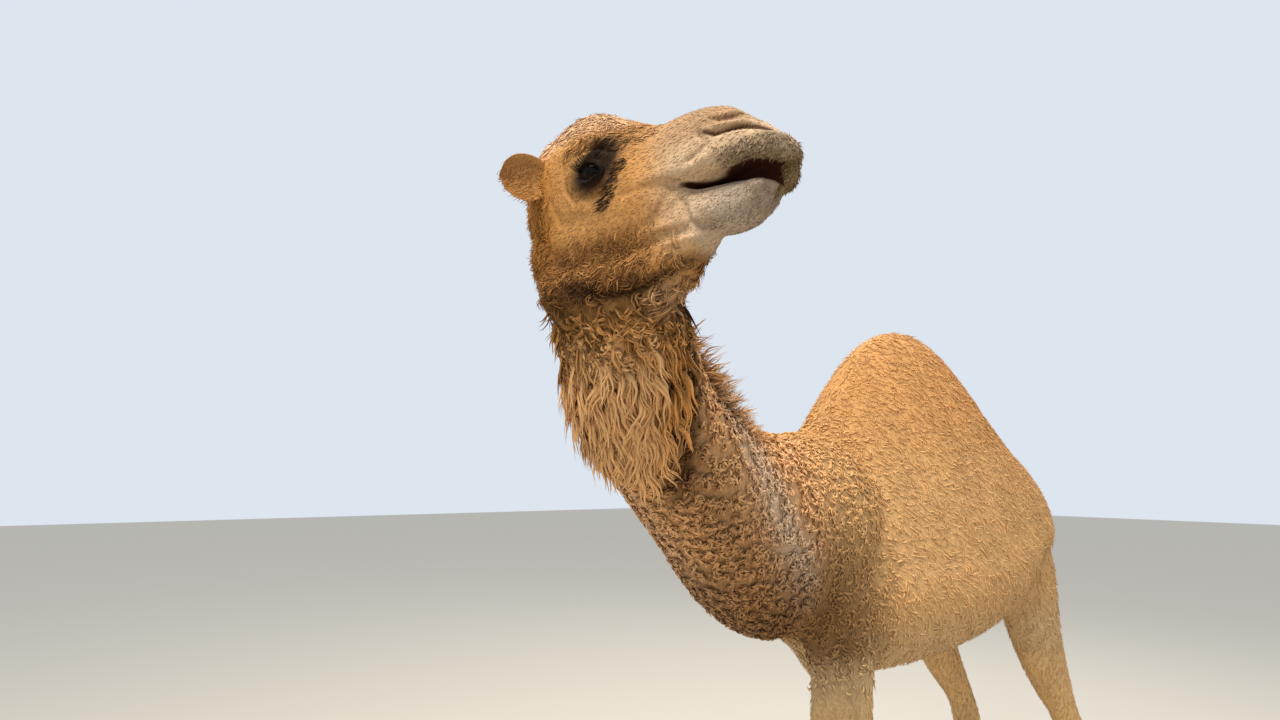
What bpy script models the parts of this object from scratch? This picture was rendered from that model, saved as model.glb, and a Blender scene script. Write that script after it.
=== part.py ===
"""A dromedary camel as a still, life-size model: it stands with its neck stretched forward and its head
turned to its left. Metres, +Z up. The animal faces -Y with its left side at +X, and the finished model's
origin is at the middle of its box, on the floor."""
import math

import bmesh
import bpy
import numpy as np
from mathutils import Matrix, Vector

# Driving dimensions, in metres and degrees
HUMP_HEIGHT = 2.110         # floor to the top of the hump, coat included
WITHERS_HEIGHT = 1.705      # floor to the low point between the neck and the hump
BELLY_HEIGHT = 0.96         # floor to the breast
TRUNK_LENGTH = 1.51         # breast to rump
TRUNK_HALF_WIDTH = 0.315    # half the barrel's width
HEAD_LENGTH = 0.499         # origin of the head, over the jaw joint, to the tip of the upper lip
HEAD_AT = (0.367, -0.994, 2.018)    # origin of the head
HEAD_TURN = 106.0           # how far the head is turned to the left of straight ahead
HEAD_ROLL = -6.6            # tilt about the head's long axis
STANCE = 0.155              # half the distance between a left foot and a right foot
EYE_RADIUS = 0.021
EAR_LENGTH = 0.115
TAIL_LENGTH = 0.52
MANE_HEIGHT = 0.036         # how far the mane stands out of the wool at its highest
MANE_LEAN = 22.0            # degrees that the mane falls over to the left of the nape
GAP = 0.0004                # space kept between neighbouring pieces
BODY_GRAIN = 0.012          # size of the cells that the body's surface is welded with
HEAD_GRAIN = 0.006
BODY_FACES = 5500           # faces left on the welded body
HEAD_FACES = 3000

# Rows of the straight lofts: place along the axis, top, bottom, half width, squareness (2 is an ellipse),
# narrowing towards the top, and the height of the widest point.
TRUNK = [
    (-0.16, 1.40, 1.24, 0.05, 2.0, 0.0, 1.32),
    (-0.13, 1.52, 1.17, 0.13, 2.0, 0.0, 1.32),
    (-0.05, 1.66, 1.09, 0.21, 2.1, 0.15, 1.32),
    (0.05, WITHERS_HEIGHT, 1.02, 0.245, 2.1, 0.25, 1.31),
    (0.12, 1.755, 0.97, 0.26, 2.0, 0.30, 1.30),
    (0.20, 1.855, BELLY_HEIGHT, 0.28, 2.0, 0.33, 1.30),
    (0.31, 1.975, BELLY_HEIGHT, 0.295, 2.0, 0.36, 1.30),
    (0.41, 2.050, 0.965, 0.305, 2.0, 0.35, 1.31),
    (0.51, 2.095, 0.975, 0.315, 2.0, 0.34, 1.32),
    (0.62, HUMP_HEIGHT, 0.990, TRUNK_HALF_WIDTH, 2.0, 0.34, 1.33),
    (0.74, 2.085, 1.020, 0.31, 2.0, 0.33, 1.34),
    (0.86, 2.005, 1.060, 0.30, 2.0, 0.34, 1.36),
    (0.97, 1.885, 1.110, 0.28, 2.0, 0.28, 1.38),
    (1.08, 1.765, 1.165, 0.26, 2.05, 0.22, 1.39),
    (1.20, 1.665, 1.230, 0.225, 2.1, 0.15, 1.40),
    (1.30, 1.54, 1.29, 0.15, 2.0, 0.05, 1.40),
    (TRUNK_LENGTH - 0.16, 1.45, 1.34, 0.05, 2.0, 0.0, 1.40),
]
SKULL = [
    (-0.060, 0.060, 0.000, 0.012, 2.0, 0.0, 0.030),
    (-0.045, 0.125, -0.050, 0.050, 2.0, 0.0, 0.040),
    (-0.005, 0.180, -0.080, 0.080, 2.0, 0.0, 0.060),
    (0.050, 0.204, -0.085, 0.093, 2.1, 0.05, 0.070),
    (0.110, 0.205, -0.070, 0.098, 2.3, 0.05, 0.070),
    (0.165, 0.192, -0.040, 0.098, 2.4, 0.10, 0.065),
    (0.215, 0.162, -0.015, 0.082, 2.3, 0.15, 0.050),
    (0.260, 0.142, 0.000, 0.066, 2.2, 0.18, 0.040),
    (0.310, 0.142, 0.004, 0.059, 2.2, 0.15, 0.040),
    (0.360, 0.137, 0.006, 0.057, 2.2, 0.10, 0.038),
    (0.405, 0.120, 0.004, 0.055, 2.2, 0.05, 0.034),
    (0.440, 0.090, 0.000, 0.050, 2.2, 0.05, 0.030),
    (0.475, 0.060, -0.006, 0.040, 2.1, 0.0, 0.024),
    (HEAD_LENGTH, 0.028, -0.004, 0.012, 2.0, 0.0, 0.010),
]
JAW = [
    (-0.056, -0.010, -0.080, 0.015, 2.0, 0.0, -0.050),
    (-0.034, 0.020, -0.118, 0.060, 2.0, 0.0, -0.050),
    (0.040, 0.030, -0.145, 0.078, 2.1, 0.0, -0.050),
    (0.120, 0.020, -0.138, 0.080, 2.2, 0.0, -0.050),
    (0.200, 0.010, -0.112, 0.068, 2.2, 0.0, -0.050),
    (0.280, 0.012, -0.090, 0.053, 2.2, 0.0, -0.045),
    (0.330, 0.004, -0.080, 0.046, 2.2, 0.0, -0.045),
    (0.380, -0.002, -0.084, 0.044, 2.2, 0.0, -0.045),
    (0.425, -0.006, -0.076, 0.041, 2.1, 0.0, -0.040),
    (0.457, -0.008, -0.052, 0.031, 2.0, 0.0, -0.028),
    (0.472, -0.014, -0.032, 0.010, 2.0, 0.0, -0.024),
]
CHEEK = [      # the masseter and cheek, between the skull and the jaw
    (-0.010, 0.030, -0.070, 0.020, 2.0, 0.0, -0.020),
    (0.030, 0.060, -0.100, 0.076, 2.1, 0.0, -0.020),
    (0.100, 0.070, -0.110, 0.088, 2.2, 0.0, -0.020),
    (0.170, 0.060, -0.100, 0.087, 2.2, 0.0, -0.018),
    (0.230, 0.050, -0.085, 0.073, 2.2, 0.0, -0.010),
    (0.285, 0.040, -0.070, 0.056, 2.1, 0.0, -0.005),
    (0.315, 0.020, -0.050, 0.040, 2.0, 0.0, -0.010),
    (0.335, 0.000, -0.035, 0.010, 2.0, 0.0, -0.015),
]
THROAT = [
    (-0.016, -0.060, -0.155, 0.015, 2.0, 0.0, -0.110),
    (0.004, -0.050, -0.190, 0.070, 2.0, 0.0, -0.120),
    (0.080, -0.050, -0.228, 0.085, 2.0, 0.0, -0.120),
    (0.160, -0.050, -0.225, 0.075, 2.0, 0.0, -0.120),
    (0.240, -0.050, -0.190, 0.058, 2.0, 0.0, -0.100),
    (0.300, -0.050, -0.138, 0.042, 2.0, 0.0, -0.080),
    (0.345, -0.050, -0.092, 0.028, 2.0, 0.0, -0.070),
    (0.365, -0.060, -0.078, 0.008, 2.0, 0.0, -0.068),
]
# Rows of the neck: centre, half width, reach towards the nape, reach towards the throat with its beard, and
# the twist of the nape about the neck, which turns the head to the side.
NECK = [
    ((0.000, 0.420, 1.400), 0.08, 0.12, 0.12, 0),
    ((0.020, 0.240, 1.410), 0.15, 0.20, 0.22, 0),
    ((0.055, 0.050, 1.427), 0.205, 0.27, 0.29, 0),
    ((0.105, -0.200, 1.420), 0.205, 0.275, 0.305, -5),
    ((0.204, -0.521, 1.538), 0.172, 0.200, 0.185, -15),
    ((0.312, -0.754, 1.710), 0.145, 0.147, 0.160, -18),
    ((0.371, -0.863, 1.850), 0.138, 0.138, 0.160, 15),
    ((0.386, -0.931, 1.978), 0.115, 0.120, 0.145, 85),
    ((0.400, -0.985, 2.055), 0.070, 0.075, 0.080, 110),
]
MOUTH_WEDGE = [(0.315, 0.001, 0.004), (0.38, -0.004, 0.009), (0.43, -0.008, 0.010), (0.53, -0.010, 0.012)]
LIP_LOBE = ((0.463, 0.024, 0.000), (0.027, 0.026, 0.036))     # left half of the split upper lip, hanging
EYE_AT = (0.168, 0.082, 0.061)
EAR_AT = (0.045, 0.066, 0.088)
EAR_AIM = (-0.45, 0.89, 0.05)
TAIL_ROOT = (0.0, 1.335, 1.44)

# Limbs: rows of place across, place along and height, with the fore-and-aft and the sideways radius. The
# sole is cut flat at the floor.
LIMB_RADII = {
    "fore": [(0.12, 0.07), (0.135, 0.10), (0.12, 0.085), (0.092, 0.075), (0.056, 0.054), (0.062, 0.060),
             (0.042, 0.042), (0.036, 0.038), (0.045, 0.045), (0.075, 0.075), (0.10, 0.09), (0.10, 0.09)],
    "hind": [(0.14, 0.08), (0.17, 0.10), (0.13, 0.09), (0.085, 0.065), (0.060, 0.046), (0.064, 0.048),
             (0.042, 0.038), (0.036, 0.036), (0.044, 0.044), (0.072, 0.072), (0.09, 0.08), (0.09, 0.08)],
}
LIMBS = {
    "foreleg_left": ("fore", 1, [(0.13, 0.06, 1.55), (0.17, -0.03, 1.25), (0.18, -0.02, 1.05),
                                 (0.17, -0.03, 0.85), (0.160, -0.04, 0.62), (0.158, -0.045, 0.54),
                                 (0.155, -0.03, 0.44), (STANCE, -0.02, 0.22), (STANCE, -0.02, 0.14),
                                 (STANCE, -0.04, 0.05), (STANCE, -0.06, 0.0), (STANCE, -0.06, -0.03)]),
    "foreleg_right": ("fore", -1, [(0.12, 0.12, 1.55), (0.16, 0.12, 1.25), (0.165, 0.26, 1.05),
                                   (0.155, 0.385, 0.86), (0.150, 0.47, 0.64), (0.148, 0.495, 0.555),
                                   (0.147, 0.525, 0.45), (STANCE, 0.585, 0.24), (STANCE, 0.61, 0.15),
                                   (STANCE, 0.605, 0.05), (STANCE, 0.585, 0.0), (STANCE, 0.585, -0.03)]),
    "hindleg_left": ("hind", 1, [(0.12, 1.05, 1.50), (0.17, 1.02, 1.25), (0.185, 1.03, 1.05),
                                 (0.17, 1.14, 0.84), (0.160, 1.25, 0.68), (0.160, 1.285, 0.58),
                                 (0.160, 1.27, 0.46), (STANCE, 1.25, 0.25), (STANCE, 1.235, 0.15),
                                 (STANCE, 1.21, 0.05), (STANCE, 1.19, 0.0), (STANCE, 1.19, -0.03)]),
    "hindleg_right": ("hind", -1, [(0.12, 1.05, 1.50), (0.17, 0.98, 1.25), (0.185, 0.94, 1.05),
                                   (0.17, 1.01, 0.85), (0.160, 1.10, 0.69), (0.160, 1.13, 0.59),
                                   (0.160, 1.10, 0.46), (STANCE, 1.05, 0.25), (STANCE, 1.035, 0.15),
                                   (STANCE, 1.005, 0.05), (STANCE, 0.985, 0.0), (STANCE, 0.985, -0.03)]),
}
LEG_CUT_HEIGHT = 0.935      # the legs are parted from the trunk just under the breast

COLOURS = {
    "coat": ((0.50, 0.32, 0.16), 0.9),
    "wool": ((0.36, 0.22, 0.11), 0.95),
    "face": ((0.48, 0.28, 0.12), 0.85),
    "eye": ((0.015, 0.010, 0.008), 0.1),
}


def clear_scene():
    for thing in list(bpy.data.objects):
        bpy.data.objects.remove(thing, do_unlink=True)


def smooth_through(places, knots, values):
    """Values at the places, on a smooth curve through the knots: cubic pieces whose slope at a knot is the
    slope of the values around it."""
    knots = np.asarray(knots, float)
    values = np.asarray(values, float)
    slopes = np.gradient(values, knots, axis=0)
    i = np.clip(np.searchsorted(knots, places, side="right") - 1, 0, len(knots) - 2)
    span = (knots[i + 1] - knots[i])[:, None]
    s = (places - knots[i])[:, None] / span
    return ((2 * s**3 - 3 * s**2 + 1) * values[i] + (s**3 - 2 * s**2 + s) * span * slopes[i]
            + (3 * s**2 - 2 * s**3) * values[i + 1] + (s**3 - s**2) * span * slopes[i + 1])


def ring(side, up, down, squareness, narrowing, sides):
    """A closed outline: a superellipse with separate heights above and below its widest line."""
    angle = np.linspace(0, 2 * math.pi, sides, endpoint=False)
    c, s = np.cos(angle), np.sin(angle)
    across = np.sign(c) * np.abs(c) ** (2 / squareness)
    rise = np.sign(s) * np.abs(s) ** (2 / squareness)
    return across * side * (1 - narrowing * rise), np.where(rise > 0, rise * up, rise * down)


def skin_rings(rings):
    """Bridges closed rings of points in turn, caps the two ends and returns a bmesh."""
    mesh = bmesh.new()
    loops = [[mesh.verts.new(point) for point in points] for points in rings]
    sides = len(loops[0])
    for lower, upper in zip(loops, loops[1:]):
        for k in range(sides):
            mesh.faces.new((lower[k], lower[(k + 1) % sides], upper[(k + 1) % sides], upper[k]))
    mesh.faces.new(list(reversed(loops[0])))
    mesh.faces.new(loops[-1])
    bmesh.ops.recalc_face_normals(mesh, faces=mesh.faces)
    return mesh


def straight_loft(rows, spacing, sides=40):
    """A loft along local X through the rows, as a bmesh."""
    rows = np.array(rows)
    count = max(12, int((rows[-1, 0] - rows[0, 0]) / spacing))
    places = np.linspace(rows[0, 0], rows[-1, 0], count)
    rings = []
    for x, (top, bottom, side, square, narrow, widest) in zip(places, smooth_through(places, rows[:, 0], rows[:, 1:])):
        y, z = ring(max(side, 0.004), max(top - widest, 0.004), max(widest - bottom, 0.004), square, narrow, sides)
        rings.append([(x, a, widest + b) for a, b in zip(y, z)])
    return skin_rings(rings)


def lengths_along(points):
    steps = np.linalg.norm(np.diff(points, axis=0), axis=1)
    return np.concatenate([[0.0], np.cumsum(steps)])


def directions(points):
    ahead = np.gradient(points, axis=0)
    return ahead / np.linalg.norm(ahead, axis=1)[:, None]


def limb_loft(points, radii, spacing, sides=24):
    """A loft along a bent line of points; radii are fore-and-aft and sideways."""
    points, radii = np.array(points, float), np.array(radii, float)
    knots = lengths_along(points)
    places = np.linspace(0, knots[-1], int(knots[-1] / spacing))
    centres = smooth_through(places, knots, points)
    sizes = smooth_through(places, knots, radii)
    rings = []
    for centre, ahead, size in zip(centres, directions(centres), sizes):
        across = np.array([1.0, 0, 0]) - ahead[0] * ahead
        across /= np.linalg.norm(across)
        forward = np.cross(ahead, across)
        y, z = ring(size[1], size[0], size[0], 2.0, 0.0, sides)
        rings.append([centre + a * across + b * forward for a, b in zip(y, z)])
    return skin_rings(rings)


def neck_line(count):
    """Centres, directions, nape directions and sizes at even places along the neck."""
    points = np.array([row[0] for row in NECK])
    knots = lengths_along(points)
    places = np.linspace(0, knots[-1], count)
    centres = smooth_through(places, knots, points)
    sizes = smooth_through(places, knots, np.array([row[1:4] for row in NECK]))
    twists = smooth_through(places, knots, np.array([[row[4]] for row in NECK]))[:, 0]
    ahead = directions(centres)
    nape = []
    upright = np.array([0.0, 0, 1])
    for k in range(count):
        upright = upright - upright.dot(ahead[k]) * ahead[k]
        upright /= np.linalg.norm(upright)
        right = np.cross(ahead[k], upright)
        turn = math.radians(twists[k])
        nape.append(math.cos(turn) * upright + math.sin(turn) * right)
    return centres, ahead, np.array(nape), sizes


def neck_loft(spacing, sides=44):
    centres, ahead, nape, sizes = neck_line(int(1.6 / spacing))
    rings = []
    for centre, along, up, size in zip(centres, ahead, nape, sizes):
        across = np.cross(along, up)
        y, z = ring(size[0], size[1], size[2], 2.0, 0.0, sides)
        rings.append([centre + a * across + b * up for a, b in zip(y, z)])
    return skin_rings(rings)


def mane_loft(spacing, sides=16):
    """The ridge of longer wool along the nape, highest behind the head and gone at the withers."""
    centres, ahead, nape, sizes = neck_line(int(1.6 / spacing))
    count = len(centres)
    first, last = int(0.40 * count), int(0.90 * count)
    rings = []
    for k in range(first, last):
        share = (k - first) / (last - 1 - first)
        swell = math.sin(math.pi * (0.06 + 0.88 * share))
        lean = math.radians(MANE_LEAN) * swell
        side = np.cross(ahead[k], nape[k])
        crest = math.cos(lean) * nape[k] - math.sin(lean) * side
        middle = centres[k] + crest * (sizes[k][1] - 0.012)
        across = np.cross(ahead[k], crest)
        y, z = ring(0.035, 0.012 + MANE_HEIGHT * swell, 0.04, 2.0, 0.0, sides)
        rings.append([middle + a * across + b * crest for a, b in zip(y, z)])
    return skin_rings(rings)


def beard_loft(spacing, sides=24):
    """The apron of long locks that hangs from the throat over the upper half of the neck."""
    centres, ahead, nape, sizes = neck_line(int(1.6 / spacing))
    count = len(centres)
    first, last = int(0.58 * count), int(0.86 * count)
    rings = []
    for k in range(first, last):
        share = (k - first) / (last - 1 - first)
        swell = math.sin(math.pi * (0.08 + 0.84 * share))
        middle = centres[k] - nape[k] * (sizes[k][2] - 0.05) + np.array([0, 0, -0.02 * swell])
        across = np.cross(ahead[k], nape[k])
        y, z = ring(0.100, 0.05, 0.042 + 0.014 * swell, 2.0, 0.0, sides)
        rings.append([middle + a * across + b * nape[k] for a, b in zip(y, z)])
    return skin_rings(rings)


def tail_loft(spacing):
    root = np.array(TAIL_ROOT)
    points = [root + (0, -0.09, 0.02), root, root + (0, 0.045, -0.07), root + (0, 0.055, -0.20),
              root + (0, 0.045, -0.34), root + (0, 0.035, -0.44), root + (0, 0.03, 0.04 - TAIL_LENGTH)]
    radii = [(0.04, 0.045), (0.036, 0.042), (0.03, 0.034), (0.024, 0.027), (0.026, 0.032), (0.030, 0.036), (0.010, 0.012)]
    return limb_loft(points, radii, spacing, 16)


def head_matrix():
    """Places the head: its local X runs to the muzzle, Y to its left and Z up."""
    turn = math.radians(HEAD_TURN - 90.0)
    return (Matrix.Translation(HEAD_AT) @ Matrix.Rotation(turn, 4, "Z")
            @ Matrix.Rotation(math.radians(-HEAD_ROLL), 4, "X"))


def ball(centre, radii, segments=24, rings=16):
    mesh = bmesh.new()
    bmesh.ops.create_uvsphere(mesh, u_segments=segments, v_segments=rings, radius=1.0)
    bmesh.ops.scale(mesh, vec=radii, verts=mesh.verts)
    bmesh.ops.translate(mesh, vec=centre, verts=mesh.verts)
    return mesh


def joined(pieces):
    """One bmesh that holds all the pieces, still as separate shells."""
    whole = bmesh.new()
    for piece in pieces:
        sheet = bpy.data.meshes.new("shell")
        piece.to_mesh(sheet)
        whole.from_mesh(sheet)
        bpy.data.meshes.remove(sheet)
    return whole


def as_object(name, mesh):
    sheet = bpy.data.meshes.new(name)
    mesh.to_mesh(sheet)
    thing = bpy.data.objects.new(name, sheet)
    bpy.context.scene.collection.objects.link(thing)
    return thing


def settled(thing):
    """A bmesh of the object as its modifiers leave it; the object is removed."""
    bpy.context.view_layer.update()
    shown = thing.evaluated_get(bpy.context.evaluated_depsgraph_get())
    mesh = bmesh.new()
    mesh.from_mesh(shown.to_mesh())
    shown.to_mesh_clear()
    bpy.data.objects.remove(thing, do_unlink=True)
    return mesh


def welded(pieces, grain, smoothing, faces):
    """One closed skin round all the pieces, softened where they meet and thinned to the given count."""
    thing = as_object("weld", joined(pieces))
    weld = thing.modifiers.new("weld", "REMESH")
    weld.mode = "VOXEL"
    weld.voxel_size = grain
    soften = thing.modifiers.new("soften", "SMOOTH")
    soften.factor = 0.5
    soften.iterations = smoothing
    thin = thing.modifiers.new("thin", "DECIMATE")
    mesh = settled_count(thing, thin, faces)
    bmesh.ops.triangulate(mesh, faces=mesh.faces)
    return mesh


def settled_count(thing, thin, faces):
    thin.ratio = 1.0
    bpy.context.view_layer.update()
    shown = thing.evaluated_get(bpy.context.evaluated_depsgraph_get())
    triangles = sum(len(face.vertices) - 2 for face in shown.data.polygons)
    thin.ratio = min(1.0, faces / triangles)
    return settled(thing)


def half(mesh, point, normal, above):
    """The closed part of the mesh on one side of a plane, set back from it by half the gap."""
    normal = Vector(normal).normalized()
    back = normal * (GAP / 2 if above else -GAP / 2)
    part = mesh.copy()
    bmesh.ops.bisect_plane(part, geom=part.verts[:] + part.edges[:] + part.faces[:], dist=1e-7,
                           plane_co=Vector(point) + back, plane_no=normal, clear_inner=above, clear_outer=not above)
    rim = [edge for edge in part.edges if edge.is_boundary]
    filled = bmesh.ops.holes_fill(part, edges=rim, sides=0)
    bmesh.ops.triangulate(part, faces=filled["faces"])
    return part


def shells(mesh):
    """The separate closed shells of a mesh, each as a bmesh."""
    left = set(mesh.verts)
    found = []
    while left:
        start = left.pop()
        group, edge_of_group = {start}, [start]
        while edge_of_group:
            corner = edge_of_group.pop()
            for edge in corner.link_edges:
                other = edge.other_vert(corner)
                if other in left:
                    left.remove(other)
                    group.add(other)
                    edge_of_group.append(other)
        copy = bmesh.new()
        new = {corner: copy.verts.new(corner.co) for corner in group}
        for face in {face for corner in group for face in corner.link_faces}:
            copy.faces.new([new[corner] for corner in face.verts])
        found.append(copy)
    return found


def main_shell(mesh):
    return max(shells(mesh), key=lambda part: abs(part.calc_volume()))


def grown(mesh, amount):
    """A copy of the mesh pushed out along its normals."""
    copy = mesh.copy()
    copy.normal_update()
    moves = [corner.normal * amount for corner in copy.verts]
    for corner, move in zip(copy.verts, moves):
        corner.co += move
    return copy


def cut_out(mesh, cutters):
    """The mesh with the cutters taken away by exact Booleans."""
    thing = as_object("cut", mesh)
    tools = []
    for cutter in cutters:
        tool = as_object("cutter", cutter)
        tool.hide_render = True
        tool.display_type = "WIRE"
        cut = thing.modifiers.new("cut", "BOOLEAN")
        cut.operation = "DIFFERENCE"
        cut.object = tool
        tools.append(tool)
    result = settled(thing)
    for tool in tools:
        bpy.data.objects.remove(tool, do_unlink=True)
    bmesh.ops.triangulate(result, faces=result.faces)
    return result


def material(kind):
    name = "camel_" + kind
    if name in bpy.data.materials:
        return bpy.data.materials[name]
    colour, roughness = COLOURS[kind]
    made = bpy.data.materials.new(name)
    made.use_nodes = True
    shader = made.node_tree.nodes["Principled BSDF"]
    shader.inputs["Base Color"].default_value = (*colour, 1.0)
    shader.inputs["Roughness"].default_value = roughness
    shader.inputs["Metallic"].default_value = 0.0
    return made


def finish(name, mesh, kind):
    """Makes the named node from a closed mesh, smooth-shaded, with its own material."""
    bmesh.ops.recalc_face_normals(mesh, faces=mesh.faces)
    thing = as_object(name, mesh)
    own = material(kind).copy()
    own.name = name
    thing.data.materials.append(own)
    thing.data.shade_smooth()
    thing.data.set_sharp_from_angle(angle=math.radians(40))
    return thing


def mouth_wedge():
    """The open mouth between the lips: full width at the back, and in front only on the right, because the
    left lobe of the upper lip hangs over it."""
    mesh = bmesh.new()
    reach = 0.08
    rows = []
    for x, low, high in MOUTH_WEDGE:
        left = reach if x < 0.42 else 0.0
        rows.append([mesh.verts.new(point) for point in
                     ((x, -reach, low), (x, left, low), (x, left, high), (x, -reach, high))])
    for back, front in zip(rows, rows[1:]):
        for k in range(4):
            mesh.faces.new((back[k], back[(k + 1) % 4], front[(k + 1) % 4], front[k]))
    mesh.faces.new(list(reversed(rows[0])))
    mesh.faces.new(rows[-1])
    bmesh.ops.recalc_face_normals(mesh, faces=mesh.faces)
    return mesh


def ear(mirror):
    """A short leaf-shaped ear, its hollow side forward and up, its root sunk in the head."""
    rows = [(0.0, 0.018, 0.015), (0.02, 0.024, 0.017), (0.05, 0.036, 0.015), (0.08, 0.035, 0.012),
            (0.10, 0.022, 0.008), (EAR_LENGTH, 0.004, 0.003)]
    rings = []
    places = np.linspace(0, EAR_LENGTH, 9)
    knots = [row[0] for row in rows]
    for x, (wide, thick) in zip(places, smooth_through(places, knots, np.array(rows)[:, 1:])):
        y, z = ring(max(wide, 0.003), max(thick, 0.003), max(thick * 0.7, 0.002), 2.0, 0.0, 16)
        hollow = 0.35 * np.maximum(0, z) * (1 - (y / max(wide, 0.003)) ** 2)
        rings.append([(x, a, b) for a, b in zip(y, z - hollow)])
    mesh = skin_rings(rings)
    aim = Vector((EAR_AIM[0], EAR_AIM[1] * mirror, EAR_AIM[2])).normalized()
    across = Vector((0, 0, 1)) - aim * aim.z
    across.normalize()
    face = aim.cross(across) * mirror
    turn = Matrix((aim, across, face)).transposed().to_4x4()
    bmesh.ops.transform(mesh, matrix=head_matrix() @ Matrix.Translation((EAR_AT[0], EAR_AT[1] * mirror, EAR_AT[2]))
                        @ turn, verts=mesh.verts)
    bmesh.ops.recalc_face_normals(mesh, faces=mesh.faces)
    return mesh


def eye(mirror):
    mesh = ball((EYE_AT[0], EYE_AT[1] * mirror, EYE_AT[2]), (EYE_RADIUS,) * 3, 16, 10)
    bmesh.ops.transform(mesh, matrix=head_matrix(), verts=mesh.verts)
    return mesh


def head_pieces(spacing):
    pieces = [straight_loft(rows, spacing) for rows in (SKULL, CHEEK, JAW, THROAT)]
    pieces.append(ball(*LIP_LOBE))
    for piece in pieces:
        bmesh.ops.transform(piece, matrix=head_matrix(), verts=piece.verts)
    return pieces


def body_pieces(spacing):
    trunk = straight_loft(TRUNK, spacing, 56)
    along_y = Matrix(((0, 1, 0, 0), (1, 0, 0, 0), (0, 0, 1, 0), (0, 0, 0, 1)))
    bmesh.ops.transform(trunk, matrix=along_y, verts=trunk.verts)
    bmesh.ops.recalc_face_normals(trunk, faces=trunk.faces)
    limbs = []
    for kind, side, points in LIMBS.values():
        limbs.append(limb_loft([(x * side, y, z) for x, y, z in points], LIMB_RADII[kind], spacing))
    return [trunk, tail_loft(spacing), *limbs]


def build():
    clear_scene()
    neck = [neck_loft(0.02), mane_loft(0.02), beard_loft(0.02)]
    body = welded(body_pieces(0.02) + neck + head_pieces(0.012), BODY_GRAIN, 5, BODY_FACES)
    top = welded(neck + head_pieces(0.008), HEAD_GRAIN, 4, HEAD_FACES)

    centres, ahead, _, _ = neck_line(101)
    neck_root, neck_middle = 35, 65
    head_cut = (centres[88], Vector((0.10, -0.30, 0.95)))

    nodes = {}
    upper = half(body, (0, 0, LEG_CUT_HEIGHT), (0, 0, 1), True)
    lower = half(half(body, (0, 0, LEG_CUT_HEIGHT), (0, 0, 1), False), (0, 0, -GAP / 2), (0, 0, 1), True)
    for part in shells(lower):
        middle = sum((corner.co for corner in part.verts), Vector()) / len(part.verts)
        side = "left" if middle.x > 0 else "right"
        limb = "foreleg_" if middle.y < 0.78 else "hindleg_"
        nodes[limb + side] = (part, "coat")
    neck_end = half(upper, centres[neck_root], ahead[neck_root], True)
    rear = main_shell(half(upper, centres[neck_root], ahead[neck_root], False))
    tail_plane = (0, TAIL_ROOT[1] + 0.02, 0)
    nodes["trunk"] = (main_shell(half(rear, tail_plane, (0, 1, 0), False)), "coat")
    nodes["tail"] = (main_shell(half(rear, tail_plane, (0, 1, 0), True)), "coat")
    nodes["neck_lower"] = (main_shell(half(neck_end, centres[neck_middle], ahead[neck_middle], False)), "wool")
    above = main_shell(half(neck_end, centres[neck_middle], ahead[neck_middle], True))
    nodes["neck_upper"] = (main_shell(half(above, *head_cut, False)), "wool")

    skull = main_shell(half(top, *head_cut, True))
    wedge = mouth_wedge()
    bmesh.ops.transform(wedge, matrix=head_matrix(), verts=wedge.verts)
    cutters = [wedge]
    for side, name in ((1, "left"), (-1, "right")):
        nodes["ear_" + name] = (ear(side), "face")
        nodes["eye_" + name] = (eye(side), "eye")
        cutters += [grown(nodes["ear_" + name][0], GAP), grown(nodes["eye_" + name][0], GAP)]
    nodes["head"] = (main_shell(cut_out(skull, cutters)), "face")

    points = np.array([corner.co for part, _ in nodes.values() for corner in part.verts])
    low, high = points.min(axis=0), points.max(axis=0)
    shift = Vector((-(low[0] + high[0]) / 2, -(low[1] + high[1]) / 2, -low[2]))
    for name, (part, kind) in nodes.items():
        bmesh.ops.translate(part, vec=shift, verts=part.verts)
        finish(name, part, kind)
        print(name, len(part.faces), "faces")
    print("origin moved by", tuple(round(v, 4) for v in shift))


build()
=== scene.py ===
import math

import bmesh
import bpy
import numpy as np
from mathutils import Matrix, Vector


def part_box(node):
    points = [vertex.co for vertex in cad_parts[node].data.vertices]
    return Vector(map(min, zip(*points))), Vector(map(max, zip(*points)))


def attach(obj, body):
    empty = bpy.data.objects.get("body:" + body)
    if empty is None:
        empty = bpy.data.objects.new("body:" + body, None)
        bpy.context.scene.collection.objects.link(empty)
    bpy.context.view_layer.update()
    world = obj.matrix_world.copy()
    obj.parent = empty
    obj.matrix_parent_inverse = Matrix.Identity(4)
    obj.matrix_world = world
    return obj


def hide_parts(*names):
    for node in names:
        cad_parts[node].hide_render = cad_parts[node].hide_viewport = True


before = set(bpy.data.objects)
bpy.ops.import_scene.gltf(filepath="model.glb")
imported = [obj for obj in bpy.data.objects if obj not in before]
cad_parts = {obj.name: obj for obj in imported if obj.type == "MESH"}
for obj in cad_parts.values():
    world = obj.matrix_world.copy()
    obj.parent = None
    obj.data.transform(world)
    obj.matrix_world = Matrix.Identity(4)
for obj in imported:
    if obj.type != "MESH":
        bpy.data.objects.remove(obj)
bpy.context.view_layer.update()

# A dromedary camel in winter wool, as a still life-size model. Shapes are worked out in the animal's own
# frame (metres, +Z up, the trunk faces -Y, its left side at +X) and moved to the model's frame at the end.
# One skin lies under the coat; the coat is wool, locks and hair made as joined meshes of small tapered tufts.

chance = np.random.default_rng(7)      # the one source of random numbers, so each run gives the same coat


# An sRGB hex colour as linear values.
def toLinear(hexCode):
    c = np.array([int(hexCode[k:k + 2], 16) for k in (0, 2, 4)]) / 255
    return np.where(c <= 0.04045, c / 12.92, ((c + 0.055) / 1.055) ** 2.4)


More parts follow.
